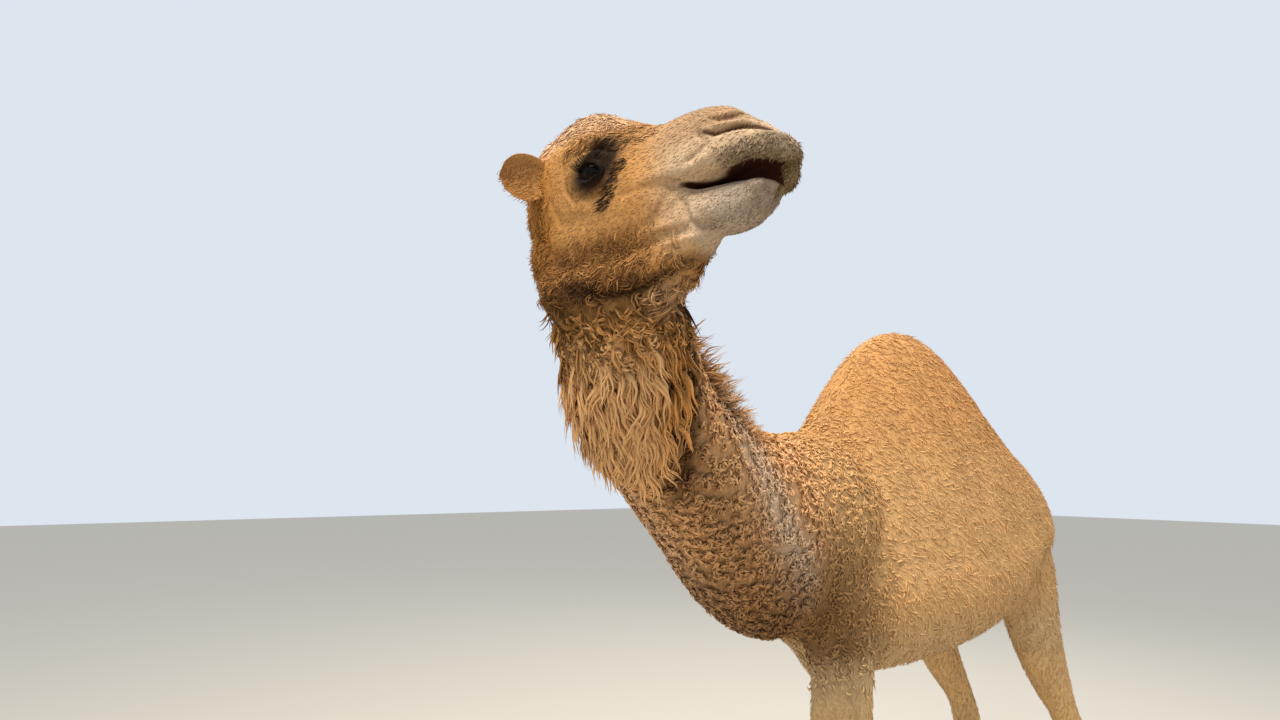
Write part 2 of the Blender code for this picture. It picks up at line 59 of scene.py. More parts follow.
# 0 before start, 1 after end and a smooth step between them.
def fade(values, start, end):
    s = np.clip((values - start) / (end - start), 0, 1)
    return s * s * (3 - 2 * s)


# A bell curve: 1 at the middle, fading over the width.
def bump(values, middle, width):
    return np.exp(-((values - middle) / width) ** 2)


# Vectors divided by their own lengths.
def unit(vectors):
    return vectors / np.maximum(np.linalg.norm(vectors, axis=-1, keepdims=True), 1e-9)


# Cubic pieces through the knots, with the slope of the values around each knot.
def smoothThrough(places, knots, values):
    knots, values = np.asarray(knots, float), np.asarray(values, float)
    slopes = np.gradient(values, knots, axis=0)
    i = np.clip(np.searchsorted(knots, places, side="right") - 1, 0, len(knots) - 2)
    span = (knots[i + 1] - knots[i])[:, None]
    s = (places - knots[i])[:, None] / span
    return ((2 * s**3 - 3 * s**2 + 1) * values[i] + (s**3 - 2 * s**2 + s) * span * slopes[i]
            + (3 * s**2 - 2 * s**3) * values[i + 1] + (s**3 - s**2) * span * slopes[i + 1])


# Closed outlines, one row each: superellipses with separate heights above and below the widest line.
def outline(side, up, down, squareness, narrowing, sides):
    angle = np.linspace(0, 2 * math.pi, sides, endpoint=False)[None, :]
    power = 2 / np.broadcast_to(squareness, side.shape)[:, None]
    across = np.sign(np.cos(angle)) * np.abs(np.cos(angle)) ** power
    rise = np.sign(np.sin(angle)) * np.abs(np.sin(angle)) ** power
    narrow = np.broadcast_to(narrowing, side.shape)[:, None]
    return across * side[:, None] * (1 - narrow * rise), rise * np.where(rise > 0, up[:, None], down[:, None])


# Outlines carried along local X through rows of place, top, bottom, half width, squareness, narrowing and
# height of the widest line.
def straightGrid(rows, spacing, sides=44):
    rows = np.array(rows)
    places = np.linspace(rows[0, 0], rows[-1, 0], max(12, int((rows[-1, 0] - rows[0, 0]) / spacing)))
    top, bottom, side, square, narrow, widest = smoothThrough(places, rows[:, 0], rows[:, 1:]).T
    least = 0.004
    y, z = outline(np.maximum(side, least), np.maximum(top - widest, least),
                   np.maximum(widest - bottom, least), square, narrow, sides)
    return np.stack([np.broadcast_to(places[:, None], y.shape), y, z + widest[:, None]], axis=-1)


# Evenly placed points on a smooth line, its directions and the places of its knots.
def lineFrame(points, count):
    points = np.array(points, float)
    knots = np.concatenate([[0], np.cumsum(np.linalg.norm(np.diff(points, axis=0), axis=1))])
    places = np.linspace(0, knots[-1], count)
    centres = smoothThrough(places, knots, points)
    return centres, unit(np.gradient(centres, axis=0)), places, knots


# Ellipses carried along a bent line, with fore-and-aft and sideways radii.
def limbGrid(points, radii, spacing, sides=28):
    points = np.array(points, float)
    length = np.linalg.norm(np.diff(points, axis=0), axis=1).sum()
    centres, ahead, places, knots = lineFrame(points, int(length / spacing))
    sizes = smoothThrough(places, knots, radii)
    across = unit(np.array([1.0, 0, 0]) - ahead[:, :1] * ahead)
    forward = np.cross(ahead, across)
    y, z = outline(sizes[:, 1], sizes[:, 0], sizes[:, 0], 2.0, 0.0, sides)
    return centres[:, None] + y[..., None] * across[:, None] + z[..., None] * forward[:, None]


# The quads between neighbouring rings of a grid, each ring closed on itself, as rows of corner numbers.
def ringQuads(count, sides):
    ring, k = np.meshgrid(np.arange(count - 1), np.arange(sides), indexing="ij")
    a, b = ring * sides + k, ring * sides + (k + 1) % sides
    return np.stack([a, b, b + sides, a + sides], axis=-1).reshape(-1, 4)


# Corners and faces of a closed shell: rings of a grid joined by quads, with a pole at each end.
def gridShell(grid):
    count, sides = grid.shape[:2]
    points = np.concatenate([grid.reshape(-1, 3), grid[0].mean(0)[None], grid[-1].mean(0)[None]])
    k = np.arange(sides)
    first = np.stack([np.full(sides, count * sides), (k + 1) % sides, k], axis=-1)
    last = np.stack([np.full(sides, count * sides + 1), (count - 1) * sides + k,
                     (count - 1) * sides + (k + 1) % sides], axis=-1)
    return points, [ringQuads(count, sides), first, last]


# An ellipsoid as rings from pole to pole along X.
def ballGrid(centre, radii, segments=28, rings=18):
    tilt = np.linspace(0.05, math.pi - 0.05, rings)[:, None]
    turn = np.linspace(0, 2 * math.pi, segments, endpoint=False)[None, :]
    grid = np.stack([-np.cos(tilt) * np.ones_like(turn), np.sin(tilt) * np.cos(turn),
                     np.sin(tilt) * np.sin(turn)], axis=-1)
    return np.array(centre) + grid * np.array(radii)


# A mesh from points and arrays of faces, each array with one count of sides.
def meshOf(name, points, faceSets):
    mesh = bpy.data.meshes.new(name)
    mesh.vertices.add(len(points))
    mesh.vertices.foreach_set("co", np.ascontiguousarray(points, np.float32).ravel())
    loops = np.concatenate([faces.ravel() for faces in faceSets]).astype(np.int32)
    totals = np.concatenate([np.full(len(faces), faces.shape[1]) for faces in faceSets])
    mesh.loops.add(len(loops))
    mesh.loops.foreach_set("vertex_index", loops)
    mesh.polygons.add(len(totals))
    mesh.polygons.foreach_set("loop_start", np.concatenate([[0], np.cumsum(totals)[:-1]]).astype(np.int32))
    mesh.update(calc_edges=True)
    return mesh


# An object for a mesh, a lamp or a camera, in the scene.
def objectOf(name, mesh):
    thing = bpy.data.objects.new(name, mesh)
    bpy.context.scene.collection.objects.link(thing)
    return thing


# One mesh that holds every grid as a closed shell of its own, with its faces outward.
def shellsMesh(name, grids):
    points, faceSets, base = [], [], 0
    for grid in grids:
        some, faces = gridShell(grid)
        points.append(some)
        faceSets += [part + base for part in faces]
        base += len(some)
    mesh = meshOf(name, np.concatenate(points), faceSets)
    recalculated(mesh)
    return mesh


# Turns all faces of closed shells outward.
def recalculated(mesh):
    work = bmesh.new()
    work.from_mesh(mesh)
    bmesh.ops.recalc_face_normals(work, faces=work.faces)
    work.to_mesh(mesh)
    work.free()


# The corners and faces of an object as its modifiers leave it; the object is removed.
def settled(thing):
    bpy.context.view_layer.update()
    shown = thing.evaluated_get(bpy.context.evaluated_depsgraph_get())
    mesh = bpy.data.meshes.new_from_object(shown)
    bpy.data.objects.remove(thing, do_unlink=True)
    return mesh


# The corners of a mesh as rows of x, y, z.
def corners(mesh):
    found = np.empty(len(mesh.vertices) * 3, np.float32)
    mesh.vertices.foreach_get("co", found)
    return found.reshape(-1, 3).astype(float)


# The normal at each corner, as rows.
def normals(mesh):
    found = np.empty(len(mesh.vertices) * 3, np.float32)
    mesh.vertex_normals.foreach_get("vector", found)
    return found.reshape(-1, 3).astype(float)


# Moves the corners of a mesh to the given rows.
def setCorners(mesh, points):
    mesh.vertices.foreach_set("co", np.ascontiguousarray(points, np.float32).ravel())
    mesh.update()


# The corner numbers of a mesh's triangles, as rows.
def triangles(mesh):
    mesh.calc_loop_triangles()
    found = np.empty(len(mesh.loop_triangles) * 3, np.int32)
    mesh.loop_triangles.foreach_get("vertices", found)
    return found.reshape(-1, 3)


# Forms of the animal, as in the solids. Rows of trunk, skull, jaw, cheek and throat hold the place along the
# part, top, bottom, half width, squareness, narrowing of the top and height of the widest line, in metres.
trunkRows = [
    (-0.16, 1.40, 1.24, 0.05, 2.0, 0.0, 1.32), (-0.13, 1.52, 1.17, 0.13, 2.0, 0.0, 1.32),
    (-0.05, 1.66, 1.09, 0.21, 2.1, 0.15, 1.32), (0.05, 1.705, 1.02, 0.245, 2.1, 0.25, 1.31),
    (0.12, 1.755, 0.97, 0.26, 2.0, 0.30, 1.30), (0.20, 1.855, 0.96, 0.28, 2.0, 0.33, 1.30),
    (0.31, 1.975, 0.96, 0.295, 2.0, 0.36, 1.30), (0.41, 2.05, 0.965, 0.305, 2.0, 0.35, 1.31),
    (0.51, 2.095, 0.975, 0.315, 2.0, 0.34, 1.32), (0.62, 2.11, 0.99, 0.315, 2.0, 0.34, 1.33),
    (0.74, 2.085, 1.02, 0.31, 2.0, 0.33, 1.34), (0.86, 2.005, 1.06, 0.30, 2.0, 0.34, 1.36),
    (0.97, 1.885, 1.11, 0.28, 2.0, 0.28, 1.38), (1.08, 1.765, 1.165, 0.26, 2.05, 0.22, 1.39),
    (1.20, 1.665, 1.23, 0.225, 2.1, 0.15, 1.40), (1.30, 1.54, 1.29, 0.15, 2.0, 0.05, 1.40),
    (1.35, 1.45, 1.34, 0.05, 2.0, 0.0, 1.40)]
skullRows = [
    (-0.060, 0.060, 0.000, 0.012, 2.0, 0.0, 0.030), (-0.045, 0.125, -0.050, 0.050, 2.0, 0.0, 0.040),
    (-0.005, 0.180, -0.080, 0.080, 2.0, 0.0, 0.060), (0.050, 0.204, -0.085, 0.093, 2.1, 0.05, 0.070),
    (0.110, 0.205, -0.070, 0.098, 2.3, 0.05, 0.070), (0.165, 0.192, -0.040, 0.098, 2.4, 0.10, 0.065),
    (0.215, 0.162, -0.015, 0.082, 2.3, 0.15, 0.050), (0.260, 0.142, 0.000, 0.066, 2.2, 0.18, 0.040),
    (0.310, 0.142, 0.004, 0.059, 2.2, 0.15, 0.040), (0.360, 0.137, 0.006, 0.057, 2.2, 0.10, 0.038),
    (0.405, 0.120, 0.004, 0.055, 2.2, 0.05, 0.034), (0.440, 0.090, 0.000, 0.050, 2.2, 0.05, 0.030),
    (0.475, 0.060, -0.006, 0.040, 2.1, 0.0, 0.024), (0.499, 0.028, -0.004, 0.012, 2.0, 0.0, 0.010)]
jawRows = [
    (-0.056, -0.010, -0.080, 0.015, 2.0, 0.0, -0.050), (-0.034, 0.020, -0.118, 0.060, 2.0, 0.0, -0.050),
    (0.040, 0.030, -0.145, 0.078, 2.1, 0.0, -0.050), (0.120, 0.020, -0.138, 0.080, 2.2, 0.0, -0.050),
    (0.200, 0.010, -0.112, 0.068, 2.2, 0.0, -0.050), (0.280, 0.012, -0.090, 0.053, 2.2, 0.0, -0.045),
    (0.330, 0.004, -0.080, 0.046, 2.2, 0.0, -0.045), (0.380, -0.002, -0.084, 0.044, 2.2, 0.0, -0.045),
    (0.425, -0.006, -0.076, 0.041, 2.1, 0.0, -0.040), (0.457, -0.008, -0.052, 0.031, 2.0, 0.0, -0.028),
    (0.472, -0.014, -0.032, 0.010, 2.0, 0.0, -0.024)]
cheekRows = [
    (-0.010, 0.030, -0.070, 0.020, 2.0, 0.0, -0.020), (0.030, 0.060, -0.100, 0.076, 2.1, 0.0, -0.020),
    (0.100, 0.070, -0.110, 0.088, 2.2, 0.0, -0.020), (0.170, 0.060, -0.100, 0.087, 2.2, 0.0, -0.018),
    (0.230, 0.050, -0.085, 0.073, 2.2, 0.0, -0.010), (0.285, 0.040, -0.070, 0.056, 2.1, 0.0, -0.005),
    (0.315, 0.020, -0.050, 0.040, 2.0, 0.0, -0.010), (0.335, 0.000, -0.035, 0.010, 2.0, 0.0, -0.015)]
throatRows = [
    (-0.016, -0.060, -0.155, 0.015, 2.0, 0.0, -0.110), (0.004, -0.050, -0.190, 0.070, 2.0, 0.0, -0.120),
    (0.080, -0.050, -0.228, 0.085, 2.0, 0.0, -0.120), (0.160, -0.050, -0.225, 0.075, 2.0, 0.0, -0.120),
    (0.240, -0.050, -0.190, 0.058, 2.0, 0.0, -0.100), (0.300, -0.050, -0.138, 0.042, 2.0, 0.0, -0.080),
    (0.345, -0.050, -0.092, 0.028, 2.0, 0.0, -0.070), (0.365, -0.060, -0.078, 0.008, 2.0, 0.0, -0.068)]
# centre, half width, reach to the nape, reach to the throat, twist of the nape about the neck
neckRows = [
    ((0.000, 0.420, 1.400), 0.08, 0.12, 0.12, 0), ((0.020, 0.240, 1.410), 0.15, 0.20, 0.22, 0),
    ((0.055, 0.050, 1.427), 0.205, 0.27, 0.29, 0), ((0.105, -0.200, 1.420), 0.205, 0.275, 0.305, -5),
    ((0.204, -0.521, 1.538), 0.172, 0.200, 0.185, -15), ((0.312, -0.754, 1.710), 0.145, 0.147, 0.160, -18),
    ((0.371, -0.863, 1.850), 0.138, 0.138, 0.160, 15), ((0.386, -0.931, 1.978), 0.115, 0.120, 0.145, 85),
    ((0.400, -0.985, 2.055), 0.070, 0.075, 0.080, 110)]
# fore-and-aft and sideways radii at each point of a limb's line
limbRadii = {
    "fore": [
        (0.12, 0.07), (0.135, 0.1), (0.12, 0.085), (0.092, 0.075), (0.056, 0.054), (0.062, 0.06),
        (0.042, 0.042), (0.036, 0.038), (0.045, 0.045), (0.075, 0.075), (0.1, 0.09), (0.1, 0.09)],
    "hind": [
        (0.14, 0.08), (0.17, 0.1), (0.13, 0.09), (0.085, 0.065), (0.06, 0.046), (0.064, 0.048),
        (0.042, 0.038), (0.036, 0.036), (0.044, 0.044), (0.072, 0.072), (0.09, 0.08), (0.09, 0.08)]}
# kind, side, and the line from inside the trunk down to below the sole
limbLines = {
    "foreleg_left": ("fore", 1, [
        (0.13, 0.06, 1.55), (0.17, -0.03, 1.25), (0.18, -0.02, 1.05), (0.17, -0.03, 0.85),
        (0.16, -0.04, 0.62), (0.158, -0.045, 0.54), (0.155, -0.03, 0.44), (0.155, -0.02, 0.22),
        (0.155, -0.02, 0.14), (0.155, -0.04, 0.05), (0.155, -0.06, 0), (0.155, -0.06, -0.03)]),
    "foreleg_right": ("fore", -1, [
        (0.12, 0.12, 1.55), (0.16, 0.12, 1.25), (0.165, 0.26, 1.05), (0.155, 0.385, 0.86),
        (0.15, 0.47, 0.64), (0.148, 0.495, 0.555), (0.147, 0.525, 0.45), (0.155, 0.585, 0.24),
        (0.155, 0.61, 0.15), (0.155, 0.605, 0.05), (0.155, 0.585, 0), (0.155, 0.585, -0.03)]),
    "hindleg_left": ("hind", 1, [
        (0.12, 1.05, 1.5), (0.17, 1.02, 1.25), (0.185, 1.03, 1.05), (0.17, 1.14, 0.84),
        (0.16, 1.25, 0.68), (0.16, 1.285, 0.58), (0.16, 1.27, 0.46), (0.155, 1.25, 0.25),
        (0.155, 1.235, 0.15), (0.155, 1.21, 0.05), (0.155, 1.19, 0), (0.155, 1.19, -0.03)]),
    "hindleg_right": ("hind", -1, [
        (0.12, 1.05, 1.5), (0.17, 0.98, 1.25), (0.185, 0.94, 1.05), (0.17, 1.01, 0.85),
        (0.16, 1.1, 0.69), (0.16, 1.13, 0.59), (0.16, 1.1, 0.46), (0.155, 1.05, 0.25),
        (0.155, 1.035, 0.15), (0.155, 1.005, 0.05), (0.155, 0.985, 0), (0.155, 0.985, -0.03)])}
tailRoot = np.array([0.0, 1.335, 1.44])

# The head's own frame: X to the muzzle, Y to its left, Z up.
headPlace = {"at": (0.367, -0.994, 2.018), "turn": 16.0, "roll": 6.6, "eye": (0.168, 0.082, 0.061)}
headMatrix = (Matrix.Translation(headPlace["at"]) @ Matrix.Rotation(math.radians(headPlace["turn"]), 4, "Z")
              @ Matrix.Rotation(math.radians(headPlace["roll"]), 4, "X"))
headTurn = np.array(headMatrix.to_3x3())
headAt = np.array(headPlace["at"])

eyeBox = np.array([list(corner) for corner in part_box("eye_right")])
rightEye = headAt + headTurn @ (np.array(headPlace["eye"]) * (1, -1, 1))
shift = eyeBox.mean(0) - rightEye        # from the animal's frame to the model's
shift[2] = 0.0


# From the animal's frame to the head's: the offset from the head's place, turned by its directions.
def toHead(points):
    return (points - headAt) @ headTurn


# From the head's frame to the animal's.
def fromHead(points):
    return points @ headTurn.T + headAt


# A grid of head-frame points moved to the animal's frame.
def placed(grid):
    return fromHead(grid.reshape(-1, 3)).reshape(grid.shape)


# Centres, directions, directions to the nape, and sizes at even places along the neck.
def neckLine(count):
    centres, ahead, places, knots = lineFrame([row[0] for row in neckRows], count)
    sizes = smoothThrough(places, knots, np.array([row[1:4] for row in neckRows]))
    twists = smoothThrough(places, knots, np.array([[row[4]] for row in neckRows]))[:, 0]
    nape = np.empty_like(centres)
    upright = np.array([0.0, 0, 1])
    for k in range(count):
        upright = unit(upright - upright.dot(ahead[k]) * ahead[k])
        turn = math.radians(twists[k])
        nape[k] = math.cos(turn) * upright + math.sin(turn) * np.cross(ahead[k], upright)
    return centres, ahead, nape, sizes


neckCount = 121
neckCentres, neckAhead, neckNape, neckSizes = neckLine(neckCount)


# The neck's rings between two shares of its length; the first rings shrink over the taper.
def neckGrid(first, last, taper):
    a, b = int(first * (neckCount - 1)), int(last * (neckCount - 1)) + 1
    share = np.linspace(0, 1, b - a)
    size = neckSizes[a:b] * (0.35 + 0.65 * fade(share, 0, taper))[:, None] if taper else neckSizes[a:b]
    across = np.cross(neckAhead[a:b], neckNape[a:b])
    y, z = outline(size[:, 0], size[:, 1], size[:, 2], 2.0, 0.0, 48)
    return neckCentres[a:b, None] + y[..., None] * across[:, None] + z[..., None] * neckNape[a:b, None]


# Share of the neck's length, and angle round it from the nape (left positive), for each point.
def neckPlace(points):
    nearest = np.empty(len(points), int)
    for k in range(0, len(points), 20000):
        apart = ((points[k:k + 20000, None] - neckCentres[None]) ** 2).sum(-1)
        nearest[k:k + 20000] = apart.argmin(1)
    off = points - neckCentres[nearest]
    up = (off * neckNape[nearest]).sum(1)
    across = (off * np.cross(neckAhead[nearest], neckNape[nearest])).sum(1)
    return nearest / (neckCount - 1), np.arctan2(-across, up), nearest


# Share of the neck's length, and degrees round it to either side of a line that many degrees off the nape.
def fromNape(points, off=0):
    share, angle, _ = neckPlace(points)
    return share, np.abs(np.degrees(angle) - off)


print("stage: forms ready, shift", shift.round(4))


# One closed skin round overlapping shells: voxel remesh, an optional cut, a second remesh, softening.
def weldedSkin(name, grids, grain, smoothing, cutter=None):
    thing = objectOf(name, shellsMesh(name, grids))
    weld = thing.modifiers.new("weld", "REMESH")
    weld.mode, weld.voxel_size = "VOXEL", grain
    if cutter:
        cut = thing.modifiers.new("cut", "BOOLEAN")
        cut.operation, cut.object = "DIFFERENCE", cutter
        again = thing.modifiers.new("again", "REMESH")
        again.mode, again.voxel_size = "VOXEL", grain
    soften = thing.modifiers.new("soften", "SMOOTH")
    soften.factor, soften.iterations = 0.5, smoothing
    mesh = settled(thing)
    if cutter:
        bpy.data.objects.remove(cutter, do_unlink=True)
    mesh.name = name
    return mesh


# grain: size of the remesh; smoothing: passes; depths: of the coat over the skin; and the feet and pads
bodySkinSet = {"grain": 0.0105, "smoothing": 6, "woolDepth": 0.017, "trunkDepth": 0.013, "legDepth": 0.004,
               "footDepth": 0.002, "underHead": 0.016, "cleft": 0.010, "cleftWidth": 0.010, "callus": 0.004,
               "breastPad": 0.012}
headSkinSet = {"grain": 0.0027, "cutGrain": 0.0013, "smoothing": 9, "faceDepth": 0.003,
               "throatDepth": 0.010, "crownDepth": 0.006, "neckDepth": 0.016, "triangles": 190000}


# The trunk's loft, turned so that it runs along Y.
def trunkGrid():
    return straightGrid(trunkRows, 0.02, 64)[..., [1, 0, 2]]


# y and z from the tail's root, fore-and-aft and sideways radii
tailRows = [(-0.09, 0.02, 0.04, 0.045), (0, 0, 0.036, 0.042), (0.045, -0.07, 0.028, 0.032),
            (0.055, -0.20, 0.019, 0.021), (0.045, -0.34, 0.014, 0.016), (0.035, -0.44, 0.010, 0.011),
            (0.03, -0.48, 0.005, 0.005)]


# The tail: ellipses along a line that leaves the rump and hangs down.
def tailGrid():
    line = [tailRoot + (0, y, z) for y, z, _, _ in tailRows]
    return limbGrid(line, [row[2:] for row in tailRows], 0.015, 20)


# Trunk, tail, neck and four limbs, overlapping.
def bodyGrids():
    limbs = [limbGrid([(x * side, y, z) for x, y, z in line], limbRadii[kind], 0.02)
             for kind, side, line in limbLines.values()]
    return [trunkGrid(), tailGrid(), neckGrid(0, 0.985, 0), *limbs]


# the gap between the lips: x, its lower and its upper edge
mouthRows = [(0.288, 0.0138, 0.0168), (0.300, 0.0102, 0.0154), (0.316, 0.0060, 0.0120),
             (0.335, 0.0010, 0.0072), (0.350, -0.0008, 0.0055), (0.365, -0.0020, 0.0045),
             (0.385, -0.0035, 0.0050), (0.397, -0.0050, 0.0075), (0.410, -0.0090, 0.0105),
             (0.424, -0.0125, 0.0130), (0.440, -0.0150, 0.0140), (0.452, -0.0175, 0.0120),
             (0.464, -0.0215, 0.0095), (0.471, -0.0290, 0.0070), (0.477, -0.0430, 0.0045),
             (0.530, -0.0600, 0.0010)]
# x, half width of the lips
lipWidth = [(0.300, 0.040), (0.360, 0.043), (0.400, 0.043), (0.440, 0.038), (0.455, 0.028),
            (0.467, 0.014), (0.490, 0.003)]


# The lower and the upper edge of the gap between the lips at each x.
def lipGap(x):
    places, low, high = np.array(mouthRows).T
    return np.interp(x, places, low), np.interp(x, places, high)


# 1 for head-frame points inside the lips, within the gap's height and more than a lip's edge deep.
def inMouth(local, spare=0.0):
    x, y, z = local.T
    low, high = lipGap(x)
    within = fade(z, low - 0.004 - spare, low - spare) * (1 - fade(z, high + spare, high + 0.004 + spare))
    wide = np.interp(x, *np.array(lipWidth).T)
    return within * (1 - fade(np.abs(y), wide - 0.008, wide - 0.002)) * fade(x, 0.280, 0.290)


# The gap between the lips. A wall of dark gum is left in its middle, and in front the cut is only on the
# right, because the left lobe of the upper lip hangs over it.
def mouthCutter():
    right = np.array([[(x, -0.08, low), (x, 0.006, low), (x, 0.006, high), (x, -0.08, high)]
                      for x, low, high in mouthRows])
    left = np.array([[(x, 0.018, low), (x, 0.08, low), (x, 0.08, high), (x, 0.018, high)]
                     for x, low, high in mouthRows[:8]])
    slot = np.array([[(x, -0.004, -0.075), (x, 0.003, -0.075), (x, 0.003, 0.004), (x, -0.004, 0.004)]
                     for x in (0.452, 0.53)])     # parts the hanging lobe from the tip of the lower lip
    parts = [placed(part) for part in (right, left, slot)]
    thing = objectOf("mouth_cutter", shellsMesh("mouth_cutter", parts))
    joined = thing.modifiers.new("joined", "REMESH")
    joined.mode, joined.voxel_size = "VOXEL", headSkinSet["cutGrain"]
    thing.hide_render = True
    thing.display_type = "WIRE"
    return thing


# middle and half sizes of the upper lip's left lobe, of its fuller back and of the gum between the two sides
lipBalls = {"lobe": ((0.463, 0.024, 0.000), (0.027, 0.026, 0.036)),
            "back": ((0.432, 0.031, 0.006), (0.040, 0.015, 0.024)),
            "gum": ((0.385, 0.012, 0.001), (0.075, 0.026, 0.028))}


# Skull, cheeks, jaw, throat, three ellipsoids of the lips, and the upper neck, overlapping.
def headGrids():
    grids = [straightGrid(rows, 0.006) for rows in (skullRows, cheekRows, jawRows, throatRows)]
    grids += [ballGrid(middle, sizes) for middle, sizes in lipBalls.values()]
    return [placed(grid) for grid in grids] + [neckGrid(0.76, 1.0, 0.30)]


bodyMesh = weldedSkin("body_skin", bodyGrids(), bodySkinSet["grain"], bodySkinSet["smoothing"])
headMesh = weldedSkin("head_skin", headGrids(), headSkinSet["grain"], headSkinSet["smoothing"], mouthCutter())
print("stage: skins welded", len(bodyMesh.vertices), len(headMesh.vertices))


# Distance in the head's side plane from a path of (x, z), and the share along it, for head-frame points.
def onPath(local, path):
    path = np.array(path, float)
    here = local[:, [0, 2]]
    best, share = np.full(len(here), 9.0), np.zeros(len(here))
    for k in range(len(path) - 1):
        step = path[k + 1] - path[k]
        s = np.clip(((here - path[k]) @ step) / (step @ step), 0, 1)
        apart = np.linalg.norm(here - path[k] - s[:, None] * step, axis=1)
        nearer = apart < best
        best[nearer], share[nearer] = apart[nearer], ((k + s) / (len(path) - 1))[nearer]
    return best, share


# A groove along a path as an inward move for each point: a bell curve across it, shallower at its ends.
def crease(local, path, width, depth):
    apart, share = onPath(local, path)
    strength = fade(share, 0, foldEnds) * fade(1 - share, 0, foldEnds)
    return -depth * np.exp(-(apart / width) ** 2) * (0.25 + 0.75 * strength)


foldEnds = 0.25      # the share of a fold's length over which each end runs out
eyeSocket = {"at": (0.163, 0.061), "across": 0.0230, "up": 0.0138, "tilt": -0.12, "power": 1.7, "deep": 0.020,
             "ball": 0.0260, "out": 0.0765}

# Folds of the face: path of (x, z) on the side of the head, width, depth (negative for a raised fold).
faceFolds = {
    "overNostril": ([(0.376, 0.101), (0.395, 0.092), (0.413, 0.089), (0.43, 0.091)], 0.0042, 0.0055),
    "nostrilWing": ([(0.396, 0.101), (0.416, 0.099), (0.434, 0.094), (0.452, 0.082)], 0.007, -0.005),
    "nostril": ([(0.368, 0.077), (0.386, 0.067), (0.404, 0.0645), (0.422, 0.066), (0.44, 0.064),
                 (0.456, 0.058), (0.472, 0.049)], 0.0036, 0.011),
    "nostrilFlap": ([(0.378, 0.082), (0.396, 0.079), (0.416, 0.076), (0.438, 0.073),
                     (0.458, 0.066)], 0.005, -0.005),
    "aboveFlap": ([(0.372, 0.092), (0.39, 0.086), (0.412, 0.083)], 0.003, 0.003),
    "behindNostril": ([(0.356, 0.086), (0.36, 0.074), (0.372, 0.064)], 0.006, 0.0035),
    "aboveLip": ([(0.322, 0.036), (0.345, 0.04), (0.368, 0.048), (0.384, 0.055)], 0.0055, 0.004),
    "backOfLip": ([(0.33, 0.02), (0.356, 0.026), (0.38, 0.036)], 0.0075, -0.003),
    "brow": ([(0.095, 0.112), (0.128, 0.127), (0.165, 0.126), (0.196, 0.112)], 0.011, -0.006),
    "underBrow": ([(0.118, 0.099), (0.145, 0.108), (0.178, 0.106), (0.205, 0.092)], 0.006, 0.0045),
    "behindOrbit": ([(0.1, 0.112), (0.096, 0.083), (0.099, 0.049), (0.124, 0.015)], 0.0055, 0.005),
    "cheekbone": ([(0.11, 0.008), (0.16, -0.006), (0.22, 0.002), (0.275, 0.022)], 0.016, -0.0045),
    "underEye": ([(0.13, 0.02), (0.168, 0.014), (0.205, 0.024)], 0.008, 0.003),
    "mouthCorner": ([(0.285, 0.016), (0.3, 0.006), (0.318, 0.008)], 0.006, 0.004),
    "belowCorner": ([(0.304, 0.008), (0.29, -0.006), (0.274, -0.028), (0.262, -0.045)], 0.0065, 0.0035),
    "behindChin": ([(0.309, -0.006), (0.32, -0.027), (0.322, -0.045), (0.326, -0.058), (0.342, -0.068),
                    (0.364, -0.07)], 0.0055, 0.0075),
    "chinFullness": ([(0.352, -0.026), (0.362, -0.046), (0.372, -0.06)], 0.013, -0.0035),
    "jowl": ([(0.326, -0.062), (0.296, -0.066), (0.256, -0.062)], 0.0055, 0.0055),
    "jowlRoll": ([(0.334, -0.08), (0.305, -0.08), (0.262, -0.084)], 0.006, -0.0035),
    "upperJowlRoll": ([(0.3, -0.052), (0.262, -0.058), (0.225, -0.06)], 0.008, -0.003),
    "underJaw": ([(0.326, -0.106), (0.3, -0.117), (0.272, -0.127), (0.238, -0.141), (0.205, -0.148),
                  (0.164, -0.146), (0.112, -0.136)], 0.0085, 0.01),
    "throatRoll": ([(0.312, -0.133), (0.275, -0.147), (0.235, -0.164), (0.175, -0.172)], 0.011, -0.005),
    "belowThroatRoll": ([(0.298, -0.15), (0.255, -0.168), (0.2, -0.188)], 0.006, 0.006),
    "jawEdge": ([(0.02, 0.1), (0.01, 0.05), (0.02, 0.0), (0.05, -0.045)], 0.012, -0.0035),
    "behindJawEdge": ([(0.06, 0.085), (0.056, 0.04), (0.075, -0.01)], 0.008, 0.003)}


# x, height of the upper edge of the upper lip's roll
lipRoll = [(0.34, 0.040), (0.386, 0.060), (0.409, 0.061), (0.428, 0.060), (0.450, 0.056), (0.466, 0.050),
           (0.480, 0.047), (0.50, 0.046)]
# depths and heights of the other forms of the face
faceForms = {"wrinkles": 6, "wrinkleWidth": 0.0021, "wrinkleDepth": 0.0030, "socket": 0.0035,
             "foreheadDip": 0.006, "crownBoss": 0.0035, "splitLip": 0.0080, "upperLip": 0.0060,
             "lowerLip": 0.0022}


